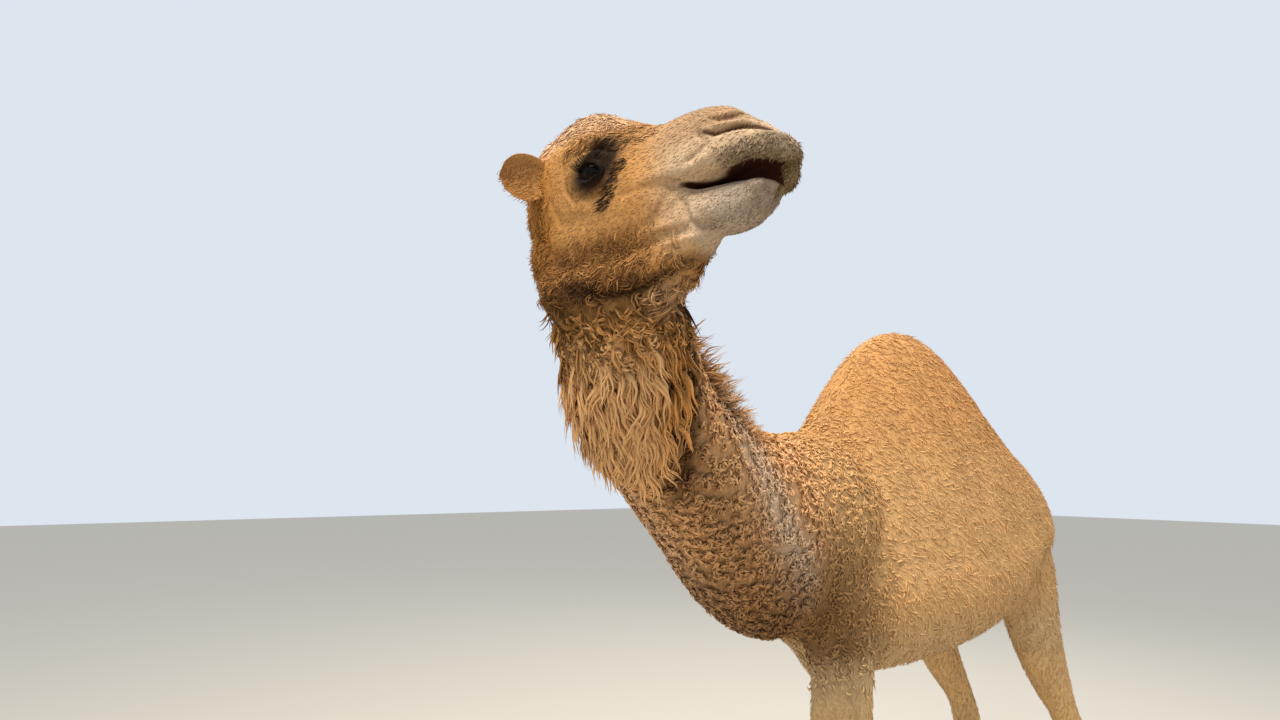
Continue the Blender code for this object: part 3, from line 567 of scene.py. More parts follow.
# How far each head-frame point moves along its normal: the sum of the folds' grooves and rolls, a hollow
# round the eye, bosses and a dip above it, and the full lips, each a product of bells and smooth steps.
def sculptedFace(local):
    x, y, z = local.T
    move = np.zeros(len(local))
    side = fade(np.abs(y), 0.012, 0.03)
    for path, width, depth in faceFolds.values():
        move += crease(local, path, width, depth) * side
    for k in range(faceForms["wrinkles"]):      # short and slanting, in front of and below the eye
        middle = np.array([0.218, 0.060]) + k / (faceForms["wrinkles"] - 1) * np.array([-0.038, -0.050])
        line = [middle + (0.013, 0.008), middle, middle - (0.013, 0.006)]
        move += crease(local, line, faceForms["wrinkleWidth"], faceForms["wrinkleDepth"]) * side
    eyeX, eyeZ = eyeSocket["at"]
    around = np.hypot((x - eyeX) / 1.25, z - eyeZ)
    move -= faceForms["socket"] * np.exp(-(around / 0.030) ** 4) * side
    move -= faceForms["foreheadDip"] * bump(y, 0, 0.018) * bump(x, 0.150, 0.05) * fade(z, 0.1, 0.15)
    move += (faceForms["crownBoss"] * bump(np.abs(y), 0.045, 0.02) * bump(x, 0.125, 0.045)
             * fade(z, 0.12, 0.17))
    move -= (faceForms["splitLip"] * bump(y, 0, 0.0045) * fade(x, 0.455, 0.485) * fade(z, 0.020, 0.034)
             * (1 - fade(z, 0.055, 0.08)))
    low, high = lipGap(x)
    rollTop = np.interp(x, *np.array(lipRoll).T)
    roll = ((1 - fade(z, rollTop - 0.007, rollTop + 0.002)) * fade(z, high - 0.002, high + 0.010)
            * fade(x, 0.345, 0.40))
    move += faceForms["upperLip"] * roll
    move += (faceForms["lowerLip"] * np.exp(-((z - low + 0.010) / 0.007) ** 2) * fade(x, 0.33, 0.40)
             * (1 - fade(x, 0.45, 0.47)))
    return move


# Depth of the coat over the head's skin, from the face's short hair to the neck's deep wool.
def headDepth(local):
    x, _, z = local.T
    below = 1 - fade(z, -0.165, -0.125)
    depth = headSkinSet["faceDepth"] * np.ones(len(local))
    depth += (headSkinSet["throatDepth"] - headSkinSet["faceDepth"]) * below
    crown = fade(z, 0.15, 0.19) * (1 - fade(x, 0.17, 0.24))
    depth += (headSkinSet["crownDepth"] - headSkinSet["faceDepth"]) * crown
    neck = np.maximum(1 - fade(z, -0.27, -0.20), 1 - fade(x, -0.10, -0.055))
    return depth + (headSkinSet["neckDepth"] - depth) * neck


# Depth of the coat over the body's skin: deep wool on the neck, short hair on the legs.
def bodyDepth(points):
    _, y, z = points.T
    deep = bodySkinSet["woolDepth"] * np.ones(len(points))
    deep += (bodySkinSet["trunkDepth"] - deep) * fade(y, -0.25, 0.15)
    deep += (bodySkinSet["legDepth"] - deep) * (1 - fade(z, 0.80, 1.05))
    deep += (bodySkinSet["footDepth"] - deep) * (1 - fade(z, 0.05, 0.15))
    share, _, _ = neckPlace(points)
    inNeck = 1 - fade(y, -0.30, -0.10)
    deep += bodySkinSet["underHead"] * fade(share, 0.80, 0.88) * inNeck      # dives under the head's skin
    return deep


# Below 1 inside the almond between the lids: a tilted superellipse on the side of the head.
def eyeOpening(local, side):
    u = local[:, 0] - eyeSocket["at"][0]
    v = local[:, 2] - eyeSocket["at"][1]
    c, s = math.cos(eyeSocket["tilt"]), math.sin(eyeSocket["tilt"])
    a, b = (u * c + v * s) / eyeSocket["across"], (-u * s + v * c) / eyeSocket["up"]
    power = eyeSocket["power"]
    return np.where(local[:, 1] * side > 0, np.abs(a) ** power + np.abs(b) ** power, 9.0)


headOut, headNormal = corners(headMesh), normals(headMesh)
headLocal = toHead(headOut)
move = sculptedFace(headLocal) * (1 - fade(-headLocal[:, 2], 0.19, 0.23)) - headDepth(headLocal)
move *= 1 - inMouth(headLocal, 0.001)
headSkinAt = headOut + headNormal * move[:, None]
for side in (1, -1):
    sink = (1 - fade(eyeOpening(headLocal, side), 0.75, 1.35)) * eyeSocket["deep"]
    headSkinAt -= side * sink[:, None] * headTurn[:, 1]
setCorners(headMesh, headSkinAt)


# The mesh collapsed to a number of triangles.
def thinned(mesh, count):
    thing = objectOf("thin", mesh)
    thin = thing.modifiers.new("thin", "DECIMATE")
    thin.ratio = min(1.0, count / len(triangles(mesh)))
    name = mesh.name
    found = settled(thing)
    found.name = name
    return found


headMesh = thinned(headMesh, headSkinSet["triangles"])

# the callous pads of knees and hocks: row of the limb's line, and how far behind or before it they lie
callusSet = {"fore": {"row": 5, "raised": -0.05, "painted": -0.055},
             "hind": {"row": 4, "raised": 0.05, "painted": 0.06}}


# Distance from a leg's callous pad, half as long again up and down.
def fromCallus(points, kind, side, line, use):
    joint = np.array(line[callusSet[kind]["row"]]) * (side, 1, 1)
    return np.linalg.norm((points - joint - (0, callusSet[kind][use], 0)) / (1, 1, 1.5), axis=1)


bodyOut, bodyNormal = corners(bodyMesh), normals(bodyMesh)
move = -bodyDepth(bodyOut)
for kind, side, line in limbLines.values():     # two toes with a cleft between them, and the callous pads
    toeX, toeY = line[-2][0] * side, line[-2][1]
    apartX, aheadY, z = bodyOut[:, 0] - toeX, toeY - bodyOut[:, 1], bodyOut[:, 2]
    near = (1 - fade(np.hypot(apartX, aheadY), 0.11, 0.14)) * (1 - fade(z, 0.07, 0.10))
    move -= (bodySkinSet["cleft"] * bump(apartX, 0, bodySkinSet["cleftWidth"]) * fade(aheadY, 0.02, 0.07)
             * near)
    move += bodySkinSet["callus"] * np.exp(-(fromCallus(bodyOut, kind, side, line, "raised") / 0.035) ** 2)
breast = np.linalg.norm((bodyOut - (0, 0.08, 0.97)) / (0.11, 0.14, 0.06), axis=1)
move += bodySkinSet["breastPad"] * np.exp(-breast ** 4)     # the pad that it kneels on
bodySkinAt = bodyOut + bodyNormal * move[:, None]
bodySkinAt[:, 2] = np.maximum(bodySkinAt[:, 2], 0.0)
setCorners(bodyMesh, bodySkinAt)
print("stage: skins sculpted", len(headMesh.vertices))


# Borders between the kinds of coat: y in front of which the head, the beard and the mane lie, y between neck
# and shoulder, y of the rump's end, z between hump and flank, and shares of the neck's length where the lower
# and the upper curls end.
coatBorders = {"head": -0.6, "beard": -0.55, "mane": -0.3, "shoulder": -0.22, "rump": 1.34, "flank": 1.45,
               "lowerNeck": 0.56, "upperNeck": 0.86}

coatColours = {      # sRGB, by the part of the animal
    "face": "BD8B53", "muzzle": "C8AC8C", "lip": "978775", "upperLip": "8A7860", "lobe": "86704F",
    "lipTip": "8C7260", "chin": "B8A793", "aroundEye": "1C0F07", "eyeShade": "5A3F28", "cheek": "8E6236",
    "poll": "A87338", "forehead": "926A42", "crown": "DCB28C", "throat": "AD7E49", "jawShade": "452C17",
    "mouth": "3A1D12", "curl": "E2AE78", "curlLight": "F2D0AC", "curlShade": "633C16", "beard": "DA9C52",
    "beardLight": "F8C488", "mane": "A0743E", "hump": "CE9A60", "side": "D4A871", "belly": "CDB288",
    # gap: painted shade deep in the coat, at the roots of the tufts.
    "leg": "D4AD78", "foot": "9A8264", "pad": "7F6C58", "gap": "38220F", "tail": "6E4C2C"}
coatLinear = {name: toLinear(code) for name, code in coatColours.items()}


# A colour moved towards a named one by an amount from 0 to 1.
def mixed(colour, name, amount):
    return colour + (coatLinear[name] - colour) * np.clip(amount, 0, 1)[:, None]


# Smooth noise between -1 and 1 from a few crossed waves of about the given size.
def ripple(points, size, seed):
    spin = np.random.default_rng(seed)
    total = np.zeros(len(points))
    for _ in range(7):
        way = unit(spin.normal(size=3)) * 2 * math.pi / (size * spin.uniform(0.7, 1.6))
        total += np.sin(points @ way + spin.uniform(0, 6.3) + 1.3 * np.sin(points @ way[[1, 2, 0]] * 0.7))
    return total / 4


# The beard's edge in degrees from the nape, by share of the neck's length: it drifts to the throat as the
# neck comes down.
def beardEdge(share, atJaw=85):
    return atJaw + (0.842 - share) * 400


# Fair curls with a painted highlight along a ridge and on the neck's front, painted shade low down, on the
# shaded side and beside the beard, the brown mane darkened partly as painted shade, and the golden beard
# with painted light on its front and painted shade towards its edge.
def paintNeck(points, paint):
    _, y, z = points.T
    share, turn = fromNape(points)
    neck = (1 - fade(y, -0.32, -0.02)) * fade(share, 0.30, 0.42)
    paint("curl", neck)
    # A painted highlight along the lit ridge of the neck, weaker lower down, and a weaker one on its front.
    band = bump(turn, 28 + (0.69 - share) * 322, 20) * fade(share, 0.30, 0.4) * (1 - fade(share, 0.70, 0.78))
    paint("curlLight", band * neck * (1 - 0.3 * fade(share, 0.56, 0.66)))
    paint("curlLight", neck * fade(turn, 150, 178) * 0.35)
    # Painted shade under the neck, on its shaded side and in the recess beside the beard, darker still there.
    low = fade(z, 1.02, 1.12) * (1 - fade(z, 1.16, 1.55)) * (1 - fade(y, -0.1, 0.2))
    beside = bump(turn, beardEdge(share, 62), 21) * fade(share, 0.64, 0.70) * (1 - fade(share, 0.88, 0.92))
    shaded = np.maximum(low * 0.92, neck * bump(turn, 118 + (0.62 - share) * 160, 26) * 0.55)
    paint("curlShade", np.maximum(shaded * 0.8, neck * beside * 0.95))
    paint("aroundEye", neck * beside * 0.32)
    # The mane's own brown, darkened partly as painted shade on its far side.
    mane = (1 - fade(turn, 16, 34)) * fade(share, 0.42, 0.60) * neck
    paint("mane", mane * 0.75)
    edge = beardEdge(share)
    beard = fade(turn, edge - 12, edge + 12) * fade(share, 0.68, 0.73)
    paint("beard", beard * neck)
    # Painted light on the beard's front and painted shade towards its edge.
    paint("beardLight", beard * neck * fade(turn, 108, 145) * 0.95)
    paint("curlShade", beard * neck * (1 - fade(turn, 100, 132)) * 0.50)


# Sandy face and muzzle, brown cheeks and brow, fair crown; the throat's brown, darker partly as painted
# shade; painted shade under the jaw, in the hollow at its rear corner, along its underside and on the nose
# above the nostrils.
def paintHead(points, local, head, face, paint):
    hx, _, hz = local.T
    # The throat's brown, darker partly as painted shade under the jaw.
    paint("throat", head)
    paint("muzzle", head * fade(hx, 0.19, 0.27) * 0.45)
    paint("face", face)
    paint("poll", face * (1 - fade(hx, 0.03, 0.10)) * (1 - fade(hz, 0.08, 0.14)))
    fringe = np.exp(-(((hx - 0.228) / 0.040) ** 2 + ((hz - 0.108) / 0.030) ** 2) ** 1.5)
    paint("crown", face * fade(hz, 0.120, 0.155) * (1 - fade(hx, 0.20, 0.26)) * 0.8)
    paint("forehead", face * fringe * (0.55 + 0.45 * ripple(points, 0.02, 9)))
    patchy = 0.82 + 0.40 * ripple(points, 0.030, 14)
    paint("cheek", face * fade(-hz, 0.025, 0.080) * (1 - fade(hx, 0.20, 0.30)) * patchy)
    # Painted shade under the jaw and, darkest, in the hollow at its rear corner.
    under = fade(-hz, 0.105, 0.140) * (1 - fade(-hz, 0.165, 0.20)) * (1 - fade(hx, 0.20, 0.28))
    hollow = np.exp(-(((hx - 0.115) / 0.058) ** 2 + ((hz + 0.131 + (hx - 0.115) * 0.15) / 0.017) ** 2))
    paint("jawShade", head * np.maximum(under * (0.55 + 0.25 * ripple(points, 0.035, 31)), hollow))
    paint("aroundEye", head * hollow**2 * 0.75)
    # A painted shadow line along the underside of the jaw.
    apart, along = onPath(local, faceFolds["underJaw"][0])
    paint("jawShade", head * np.exp(-(apart / 0.011) ** 2) * (0.55 + 0.35 * along))
    paint("muzzle", head * fade(hx, 0.235, 0.33) * fade(hz, -0.12, -0.06))
    paint("muzzle", head * fade(hz, 0.150, 0.19) * 0.25)
    # Painted shade on the nose above the nostrils.
    paint("forehead", head * fade(hx, 0.235, 0.33) * fade(hz, 0.045, 0.095) * 0.58)


# Grey-brown lips over a pale chin, mottled towards their tips, and the brown hanging lobe.
def paintLips(points, local, head, paint):
    hx, hy, hz = local.T
    chin = head * fade(hx, 0.315, 0.355) * (1 - fade(hz, -0.01, 0.004)) * fade(hz, -0.12, -0.09)
    paint("chin", chin)
    paint("muzzle", chin * (1 - fade(hx, 0.345, 0.40)) * 0.8)
    paint("lipTip", chin * fade(hx, 0.40, 0.46) * (0.65 + 0.35 * ripple(points, 0.018, 21)))
    paint("lip", chin * fade(-hz, -0.01, 0.05) * 0.45)
    upper = (head * fade(hx, 0.36, 0.43) * (1 - fade(hz, 0.026 + (hx - 0.40) * 0.20, 0.050))
             * fade(hz, -0.006, 0.002))
    paint("upperLip", upper * (0.80 + 0.2 * ripple(points, 0.008, 12)))
    paint("lobe", head * fade(hx, 0.440, 0.460) * fade(hy, -0.004, 0.004) * fade(hz, -0.045, -0.035)
          * (1 - fade(hz, 0.0, 0.02)))


# A soft brown patch that slants forward over the socket, and a near-black rim round the lids.
def paintEyes(local, face, paint):
    hx, _, hz = local.T
    eyeX, eyeZ = eyeSocket["at"]
    slant = (hx - eyeX) * 0.55 + (hz - eyeZ) * 0.83
    cross = -(hx - eyeX) * 0.83 + (hz - eyeZ) * 0.55
    patch = np.exp(-(((slant - 0.018) / 0.052) ** 2 + ((cross + 0.004) / 0.031) ** 2) ** 1.4)
    rim = np.exp(-(((hx - eyeX + 0.003) / 0.050) ** 2 + ((hz - eyeZ + 0.005) / 0.035) ** 2) ** 1.8)
    paint("eyeShade", face * np.minimum(patch * 1.25, 1))
    paint("aroundEye", face * np.maximum(rim, fade(patch, 0.22, 0.62) * 0.90))


# Painted shade in the deepest folds: how dark it is in each.
foldShade = {"overNostril": 0.55, "behindNostril": 0.35, "aboveLip": 0.30, "behindChin": 0.26}      # how dark


# Painted shade in the nostrils and the deepest folds, and the dark inside of the mouth, partly the gum's own
# colour and partly painted shade.
def paintCreases(local, head, paint):
    beside = np.abs(local[:, 1])
    nostril, _ = onPath(local, faceFolds["nostril"][0])
    paint("mouth", head * np.exp(-(nostril / 0.0040) ** 2) * (beside > 0.02) * 0.95)
    for fold, deep in foldShade.items():
        apart, _ = onPath(local, faceFolds[fold][0])
        paint("jawShade", head * np.exp(-(apart / 0.0045) ** 2) * (beside > 0.015) * deep)
    paint("mouth", head * inMouth(local))


# Linear colour of the coat at points in the animal's frame: colours laid over each other, each by its share
# from 0 to 1, and at last a few percent of light and dark in patches of 160 and 45 mm.
def markings(points):
    x, y, z = points.T
    colour = np.tile(coatLinear["side"], (len(points), 1))

    def paint(name, amount):
        colour[:] = mixed(colour, name, amount)

    paint("hump", fade(z, 1.45, 1.85))
    paint("belly", (1 - fade(z, 1.00, 1.20)) * 0.8)
    paint("leg", 1 - fade(z, 0.85, 1.10))
    paint("foot", 1 - fade(z, 0.04, 0.22))
    paintNeck(points, paint)
    local = toHead(points)
    hx, _, hz = local.T
    head = (fade(hz, -0.24, -0.19) * fade(hx, -0.085, -0.055) * (1 - fade(hx, 0.5, 0.6))
            * (y < coatBorders["head"]))
    face = head * fade(hz, -0.155, -0.125)
    paintHead(points, local, head, face, paint)
    paintLips(points, local, head, paint)
    paintEyes(local, face, paint)
    paintCreases(local, head, paint)
    for kind, side, line in limbLines.values():
        paint("pad", 1 - fade(fromCallus(points, kind, side, line, "painted"), 0.025, 0.045))
    breast = np.linalg.norm((points - (0, 0.08, 0.965)) / (0.10, 0.13, 0.06), axis=1)
    paint("pad", 1 - fade(breast, 0.75, 1.05))
    paint("tail", fade(y, 1.355, 1.37) * (1 - fade(z, 1.0, 1.3)) * (z > 0.85) * (np.abs(x) < 0.09) * 0.8)
    worn = ripple(points, 0.16, 3) * 0.07 + ripple(points, 0.045, 4) * 0.05
    return np.clip(colour * (1 + worn)[:, None], 0, 1)


# Colours, one to a corner, as an attribute that a material reads.
def setColour(mesh, name, colours):
    layer = mesh.attributes.new(name, "FLOAT_COLOR", "POINT")
    full = np.concatenate([colours, np.ones((len(colours), 1))], axis=1)
    layer.data.foreach_set("color", full.astype(np.float32).ravel())


# Values, one to a corner, as an attribute that a material reads.
def setValue(mesh, name, values):
    layer = mesh.attributes.new(name, "FLOAT", "POINT")
    layer.data.foreach_set("value", np.asarray(values, np.float32))


# A UV map from one row to each corner of each face.
def setUv(mesh, name, values):
    layer = mesh.uv_layers.new(name=name)
    layer.data.foreach_set("uv", values.astype(np.float32).ravel())


# The direction the coat lies in at each point, along the skin.
def lieOfCoat(points, normal):
    local = toHead(points)
    share, _, nearest = neckPlace(points)
    _, y, z = points.T
    down = np.array([0.0, 0, -1])
    flow = np.tile((0.0, 0.55, -0.75), (len(points), 1))
    limb = (1 - fade(z, 0.9, 1.15))[:, None]
    flow = flow * (1 - limb) + down * limb
    neck = ((1 - fade(y, -0.30, 0.0)) * fade(share, 0.3, 0.42))[:, None]
    alongNeck = -neckAhead[nearest] * 0.8 + down * 0.7
    flow = flow * (1 - neck) + alongNeck * neck
    head = (fade(local[:, 2], -0.20, -0.14) * fade(local[:, 0], -0.10, -0.05)
            * (y < coatBorders["head"]))[:, None]
    back = -headTurn[:, 0] * 0.9 + down * 0.35
    crown = -headTurn[:, 0] * 0.5 + headTurn[:, 1] * np.sign(local[:, 1:2]) * 0.7
    top = (fade(local[:, 2], 0.15, 0.19) * (1 - fade(local[:, 0], 0.17, 0.24)))[:, None]
    back = back * (1 - top) + crown * top
    flow = flow * (1 - head) + back * head
    flow = flow - (flow * normal).sum(1, keepdims=True) * normal
    return unit(flow)


# Each point's place on an unwrap of the skin: head, neck, trunk, tail and legs each have their own area,
# laid out by the place along the part and the angle round it.
def unwrap(points, onHead):
    local = toHead(points)
    share, angle, _ = neckPlace(points)
    x, y, z = points.T

    def turned(a):
        return (a + math.pi) / (2 * math.pi)

    trunk = np.stack([0.01 + 0.98 * np.clip((y + 0.25) / 1.65, 0, 1),
                      0.22 + 0.27 * turned(np.arctan2(x, z - 1.38))], axis=1)
    neck = np.stack([0.51 + 0.48 * np.clip((share - 0.25) / 0.75, 0, 1), 0.51 + 0.48 * turned(angle)], axis=1)
    head = np.stack([0.01 + 0.48 * np.clip((local[:, 0] + 0.10) / 0.62, 0, 1),
                     0.51 + 0.48 * turned(np.arctan2(local[:, 1], local[:, 2]))], axis=1)
    place = np.where((y < -0.05)[:, None], neck, trunk)
    place = np.where((onHead & (local[:, 2] > -0.25))[:, None], head, place)
    for k, (_, side, line) in enumerate(limbLines.values()):
        axis = np.array(line)[::-1] * (side, 1, 1)
        aside, behind = x - np.interp(z, axis[:, 2], axis[:, 0]), y - np.interp(z, axis[:, 2], axis[:, 1])
        apart = np.hypot(aside, behind)
        leg = np.stack([0.01 + 0.22 * k + 0.20 * turned(np.arctan2(aside, -behind)),
                        0.01 + 0.19 * np.clip(z / 0.98, 0, 1)], axis=1)
        place = np.where(((z < 0.98) & (apart < 0.2))[:, None], leg, place)
    tail = np.stack([0.90 + 0.09 * turned(np.arctan2(x, y - 1.37)),
                     0.01 + 0.19 * np.clip((z - 0.9) / 0.6, 0, 1)], axis=1)
    return np.where(((y > 1.36) & (z < 1.46))[:, None], tail, place)


triesPerCell = 9      # random places tried for each root that is kept


# One whole number for each cell of a cubic grid, from the cell's three numbers and two primes.
def cellKey(points, size, offset=0.0):
    cell = np.floor(points / size + offset).astype(np.int64)
    return (cell[:, 0] * 7919 + cell[:, 1]) * 104729 + cell[:, 2]


# Root points spread evenly over a mesh, about one to each cell of the spacing: corners, normals.
# wanted(points) gives the share of roots to keep at each point.
def scattered(mesh, spacing, wanted):
    at, tri = corners(mesh), triangles(mesh)
    normal = normals(mesh)
    a, b, c = at[tri[:, 0]], at[tri[:, 1]], at[tri[:, 2]]
    area = np.linalg.norm(np.cross(b - a, c - a), axis=1) / 2 * (wanted((a + b + c) / 3) > 0.001)
    count = int(area.sum() / spacing**2 * triesPerCell)
    pick = chance.choice(len(tri), count, p=area / area.sum())
    r1, r2 = np.sqrt(chance.random((count, 1))), chance.random((count, 1))
    w = np.concatenate([1 - r1, r1 * (1 - r2), r1 * r2], axis=1)
    points = (at[tri[pick]] * w[..., None]).sum(1)
    facing = unit((normal[tri[pick]] * w[..., None]).sum(1))
    _, first = np.unique(cellKey(points, spacing), return_index=True)
    first.sort()
    points, facing = points[first], facing[first]
    keep = chance.random(len(points)) < wanted(points)
    return points[keep], facing[keep]


# The nearest of a scatter of middles for each root: the offset from it along the skin, over half the size,
# and its number.
def rosettes(roots, facing, size):
    _, first = np.unique(cellKey(roots, size, 0.37), return_index=True)
    middles = roots[first]
    near = np.concatenate([((part[:, None] - middles[None]) ** 2).sum(-1).argmin(1)
                           for part in np.array_split(roots, len(roots) // 400 + 1)])
    off = roots - middles[near]
    off -= (off * facing).sum(1, keepdims=True) * facing
    return off / (size / 2), near


# The faces of one tuft and their strand UVs: quads between rings, triangles at the tip and one face at the
# foot. U runs round the tuft and V from root to tip.
def tuftFaces(rings, sides):
    ring, k = np.meshgrid(np.arange(rings - 1), np.arange(sides), indexing="ij")
    u, v = k / sides, ring / rings
    quadUv = np.stack([np.stack([u, v], -1), np.stack([u + 1 / sides, v], -1),
                       np.stack([u + 1 / sides, v + 1 / rings], -1), np.stack([u, v + 1 / rings], -1)],
                      axis=2).reshape(-1, 4, 2)
    k = np.arange(sides)
    last = (rings - 1) * sides
    tips = np.stack([last + k, last + (k + 1) % sides, np.full(sides, rings * sides)], axis=-1)
    high = np.full(sides, 1 - 1 / rings)
    tipUv = np.stack([np.stack([k / sides, high], -1), np.stack([(k + 1) / sides, high], -1),
                      np.stack([(k + 0.5) / sides, np.ones(sides)], -1)], axis=1)
    foot = k[::-1][None, :]
    footTurn = 2 * math.pi * foot / sides
    footUv = np.stack([0.5 + 0.04 * np.cos(footTurn), 0.04 + 0.04 * np.sin(footTurn)], axis=-1)
    return (ringQuads(rings, sides), tips, foot), (quadUv, tipUv, footUv)


# What a tuft is where its dictionary says nothing else. Lengths are in metres and angles in radians.
# strands: how many make up a lock; spread: variation in length; wave and waves: size and number of crimps;
# droop: pull of gravity; sunk: depth of the root; taper: higher keeps the width further towards the tip;
# dark: how dark the root is, as painted shade deep in the coat; mottle: variation in tone; litFrom: share
# of the length where the painted shade ends and the full colour is reached; tip: brightness of the tip, a
# painted highlight.
tuftSet = {"strands": 1, "spread": 0.3, "wave": 0, "waves": 1, "droop": 0, "sunk": 0.002, "taper": 1.6,
           "dark": 0.55, "mottle": 0.16, "litFrom": 0.55, "tip": 1.08}


# A joined mesh of tapered tufts. Each tuft is a flattened tube round a centre line that leaves the skin at
# a steep angle, bends down along the lie, and curls sideways by a turn; it ends in a point. shape holds,
# besides tuftSet: length, width, flat, rise and rest (angles to the skin at root and tip), turn (sideways
# curl), wander (spread of the heading), rings and sides, lock (width of a lock), and for round curls
# rosette (their size), swirl, dome (their height) and gaps (how dark the painted shade between them is).
def tufted(name, roots, facing, shape, onHead, tone=None):
    shape = {**tuftSet, **shape}
    locks, rings, sides, strands = len(roots), shape["rings"], shape["sides"], shape["strands"]
    count = locks * strands
    loose = 0.12 * (strands > 1)        # how far the strands of one lock differ from each other

    def each(values):
        return np.repeat(values, strands, axis=0)

    def draw(spread):
        return each(1 + spread * (chance.random(locks) * 2 - 1))

    def stray(size):
        return loose * size * (chance.random(count) * 2 - 1)

    lie = lieOfCoat(roots, facing)
    shade, spin = np.ones(locks), np.where(chance.random(locks) < 0.5, -1, 1)
    if "rosette" in shape:      # wool stands in round curls: tufts swirl about each middle, on a low dome
        off, near = rosettes(roots, facing, shape["rosette"])
        apart = np.minimum(np.linalg.norm(off, axis=1), 1.25)
        spin = spin[near]
        swirl = np.cross(facing, unit(off)) * spin[:, None] - 0.35 * unit(off)
        lie = unit(lie * (1 - shape["swirl"]) + swirl * shape["swirl"])
        roots = roots + facing * ((1 - apart**2) * shape["dome"])[:, None]
        # Painted shade: each curl darkens towards the gaps between curls and lightens on its dome.
        shade = 1.14 - shape["gaps"] * apart**2
    across = np.cross(facing, lie)
    roots, facing, lie, across, shade = each(roots), each(facing), each(lie), each(across), each(shade)
    length = shape["length"] * draw(shape["spread"]) * (1 + stray(1.6))
    width = shape["width"] * draw(0.25) * (1 + stray(2.0))
    if "scale" in shape:
        size = shape["scale"](roots)
        length, width = length * size, width * np.sqrt(size)
    heading = each((chance.random(locks) * 2 - 1) * shape["wander"]) + stray(1.5)
    turn = shape["turn"] * draw(0.4) * each(spin) * (1 + stray(1.0))
    phase = each(chance.random(locks) * 2 * math.pi) + stray(3.0)
    s = np.linspace(0, 1, rings + 1)[None, :]
    rise = (shape["rise"] * draw(0.25))[:, None]
    tilt = rise + (shape["rest"] * draw(0.6)[:, None] - rise) * s**0.55 + stray(1.0)[:, None] * s
    crimp = shape["wave"] * np.sin(2 * math.pi * shape["waves"] * s + phase[:, None])
    swing = heading[:, None] + turn[:, None] * s + crimp
    way = ((np.cos(tilt) * np.cos(swing))[..., None] * lie[:, None]
           + (np.cos(tilt) * np.sin(swing))[..., None] * across[:, None]
           + np.sin(tilt)[..., None] * facing[:, None])
    if shape["droop"]:
        way = unit(way + (shape["droop"] * s[..., None]) * np.array([0, 0, -1.0]))
    step = (length / rings)[:, None, None] * (way[:, :-1] + way[:, 1:]) / 2
    line = np.concatenate([roots[:, None], roots[:, None] + np.cumsum(step, axis=1)], axis=1)
    line -= facing[:, None] * shape["sunk"]
    beside = -np.sin(swing)[..., None] * lie[:, None] + np.cos(swing)[..., None] * across[:, None]
    beside = unit(beside - (beside * way).sum(-1, keepdims=True) * way)
    above = np.cross(way, beside)
    if strands > 1:      # the strands of a lock run beside each other and draw together at its tip
        spoke, out = chance.random(count) * 2 * math.pi, np.sqrt(chance.random(count)) * shape["lock"] / 2
        belly = (0.55 + 0.75 * np.sin(math.pi * np.clip(s * 1.05, 0, 1)) - 0.42 * s)[..., None]
        line = line + belly * ((out * np.cos(spoke))[:, None, None] * beside
                               + (out * 0.45 * np.sin(spoke))[:, None, None] * above)
        # Painted shade on the sides and the underside of each lock, painted light on its top.
        beyond = out / (shape["lock"] / 2)
        shade = shade * (1.05 + 0.30 * beyond * np.sin(spoke) - 0.62 * (beyond * np.cos(spoke)) ** 2)
    fullness = 0.62 + 0.38 * np.sin(math.pi * np.clip(s * 1.6, 0, 1))      # narrower at the root
    girth = ((width[:, None] / 2) * (1 - s**shape["taper"]) * fullness)[:, :-1, None, None]
    angle = np.linspace(0, 2 * math.pi, sides, endpoint=False)[None, None, :, None]
    body = line[:, :-1, None] + girth * (np.cos(angle) * beside[:, :-1, None]
                                         + shape["flat"] * np.sin(angle) * above[:, :-1, None])
    points = np.concatenate([body.reshape(count, -1, 3), line[:, -1:, :]], axis=1)

    faceKinds, patterns = tuftFaces(rings, sides)
    first = (np.arange(count) * (rings * sides + 1))[:, None, None]
    mesh = meshOf(name, points.reshape(-1, 3) + shift,
                  [(faces + first).reshape(-1, faces.shape[1]) for faces in faceKinds])
    patterns = [np.broadcast_to(part, (count, *part.shape)).reshape(count, -1, 2) for part in patterns]
    place = unwrap(roots, np.full(count, onHead))
    setUv(mesh, "OFBake", np.concatenate([(place[:, None] + (part - 0.5) * 0.003).reshape(-1, 2)
                                          for part in patterns]))
    salt = chance.random((count, 1, 2)) * 37
    setUv(mesh, "Strand", np.concatenate([(part + salt).reshape(-1, 2) for part in patterns]))

    along = np.repeat(np.concatenate([np.repeat(s[0, :-1], sides), [1.0]])[None], count, axis=0)
    base = markings(roots) if tone is None else tone
    light = each(1 + shape["mottle"] * (chance.random(locks) * 2 - 1)) * (1 + stray(1.2)) * shade
    # Painted shade at each tuft's root, deep in the coat, giving way to its colour and a painted highlight at
    # the tip.
    rootTone = base * (1 - shape["dark"]) + coatLinear["gap"] * shape["dark"]
    mix = fade(along, -0.10, shape["litFrom"])[..., None]
    colours = (rootTone[:, None] * (1 - mix) + base[:, None] * mix * shape["tip"]) * light[:, None, None]
    colours = colours.reshape(-1, 3)
    colours /= np.maximum(colours.max(1, keepdims=True) / 0.82, 1)      # the brightest tips keep their hue
    setColour(mesh, "coatColour", colours)
    mesh.shade_smooth()
    print("stage:", name, locks, "tufts", count * (rings * sides * 2 - 2), "triangles")
    return mesh


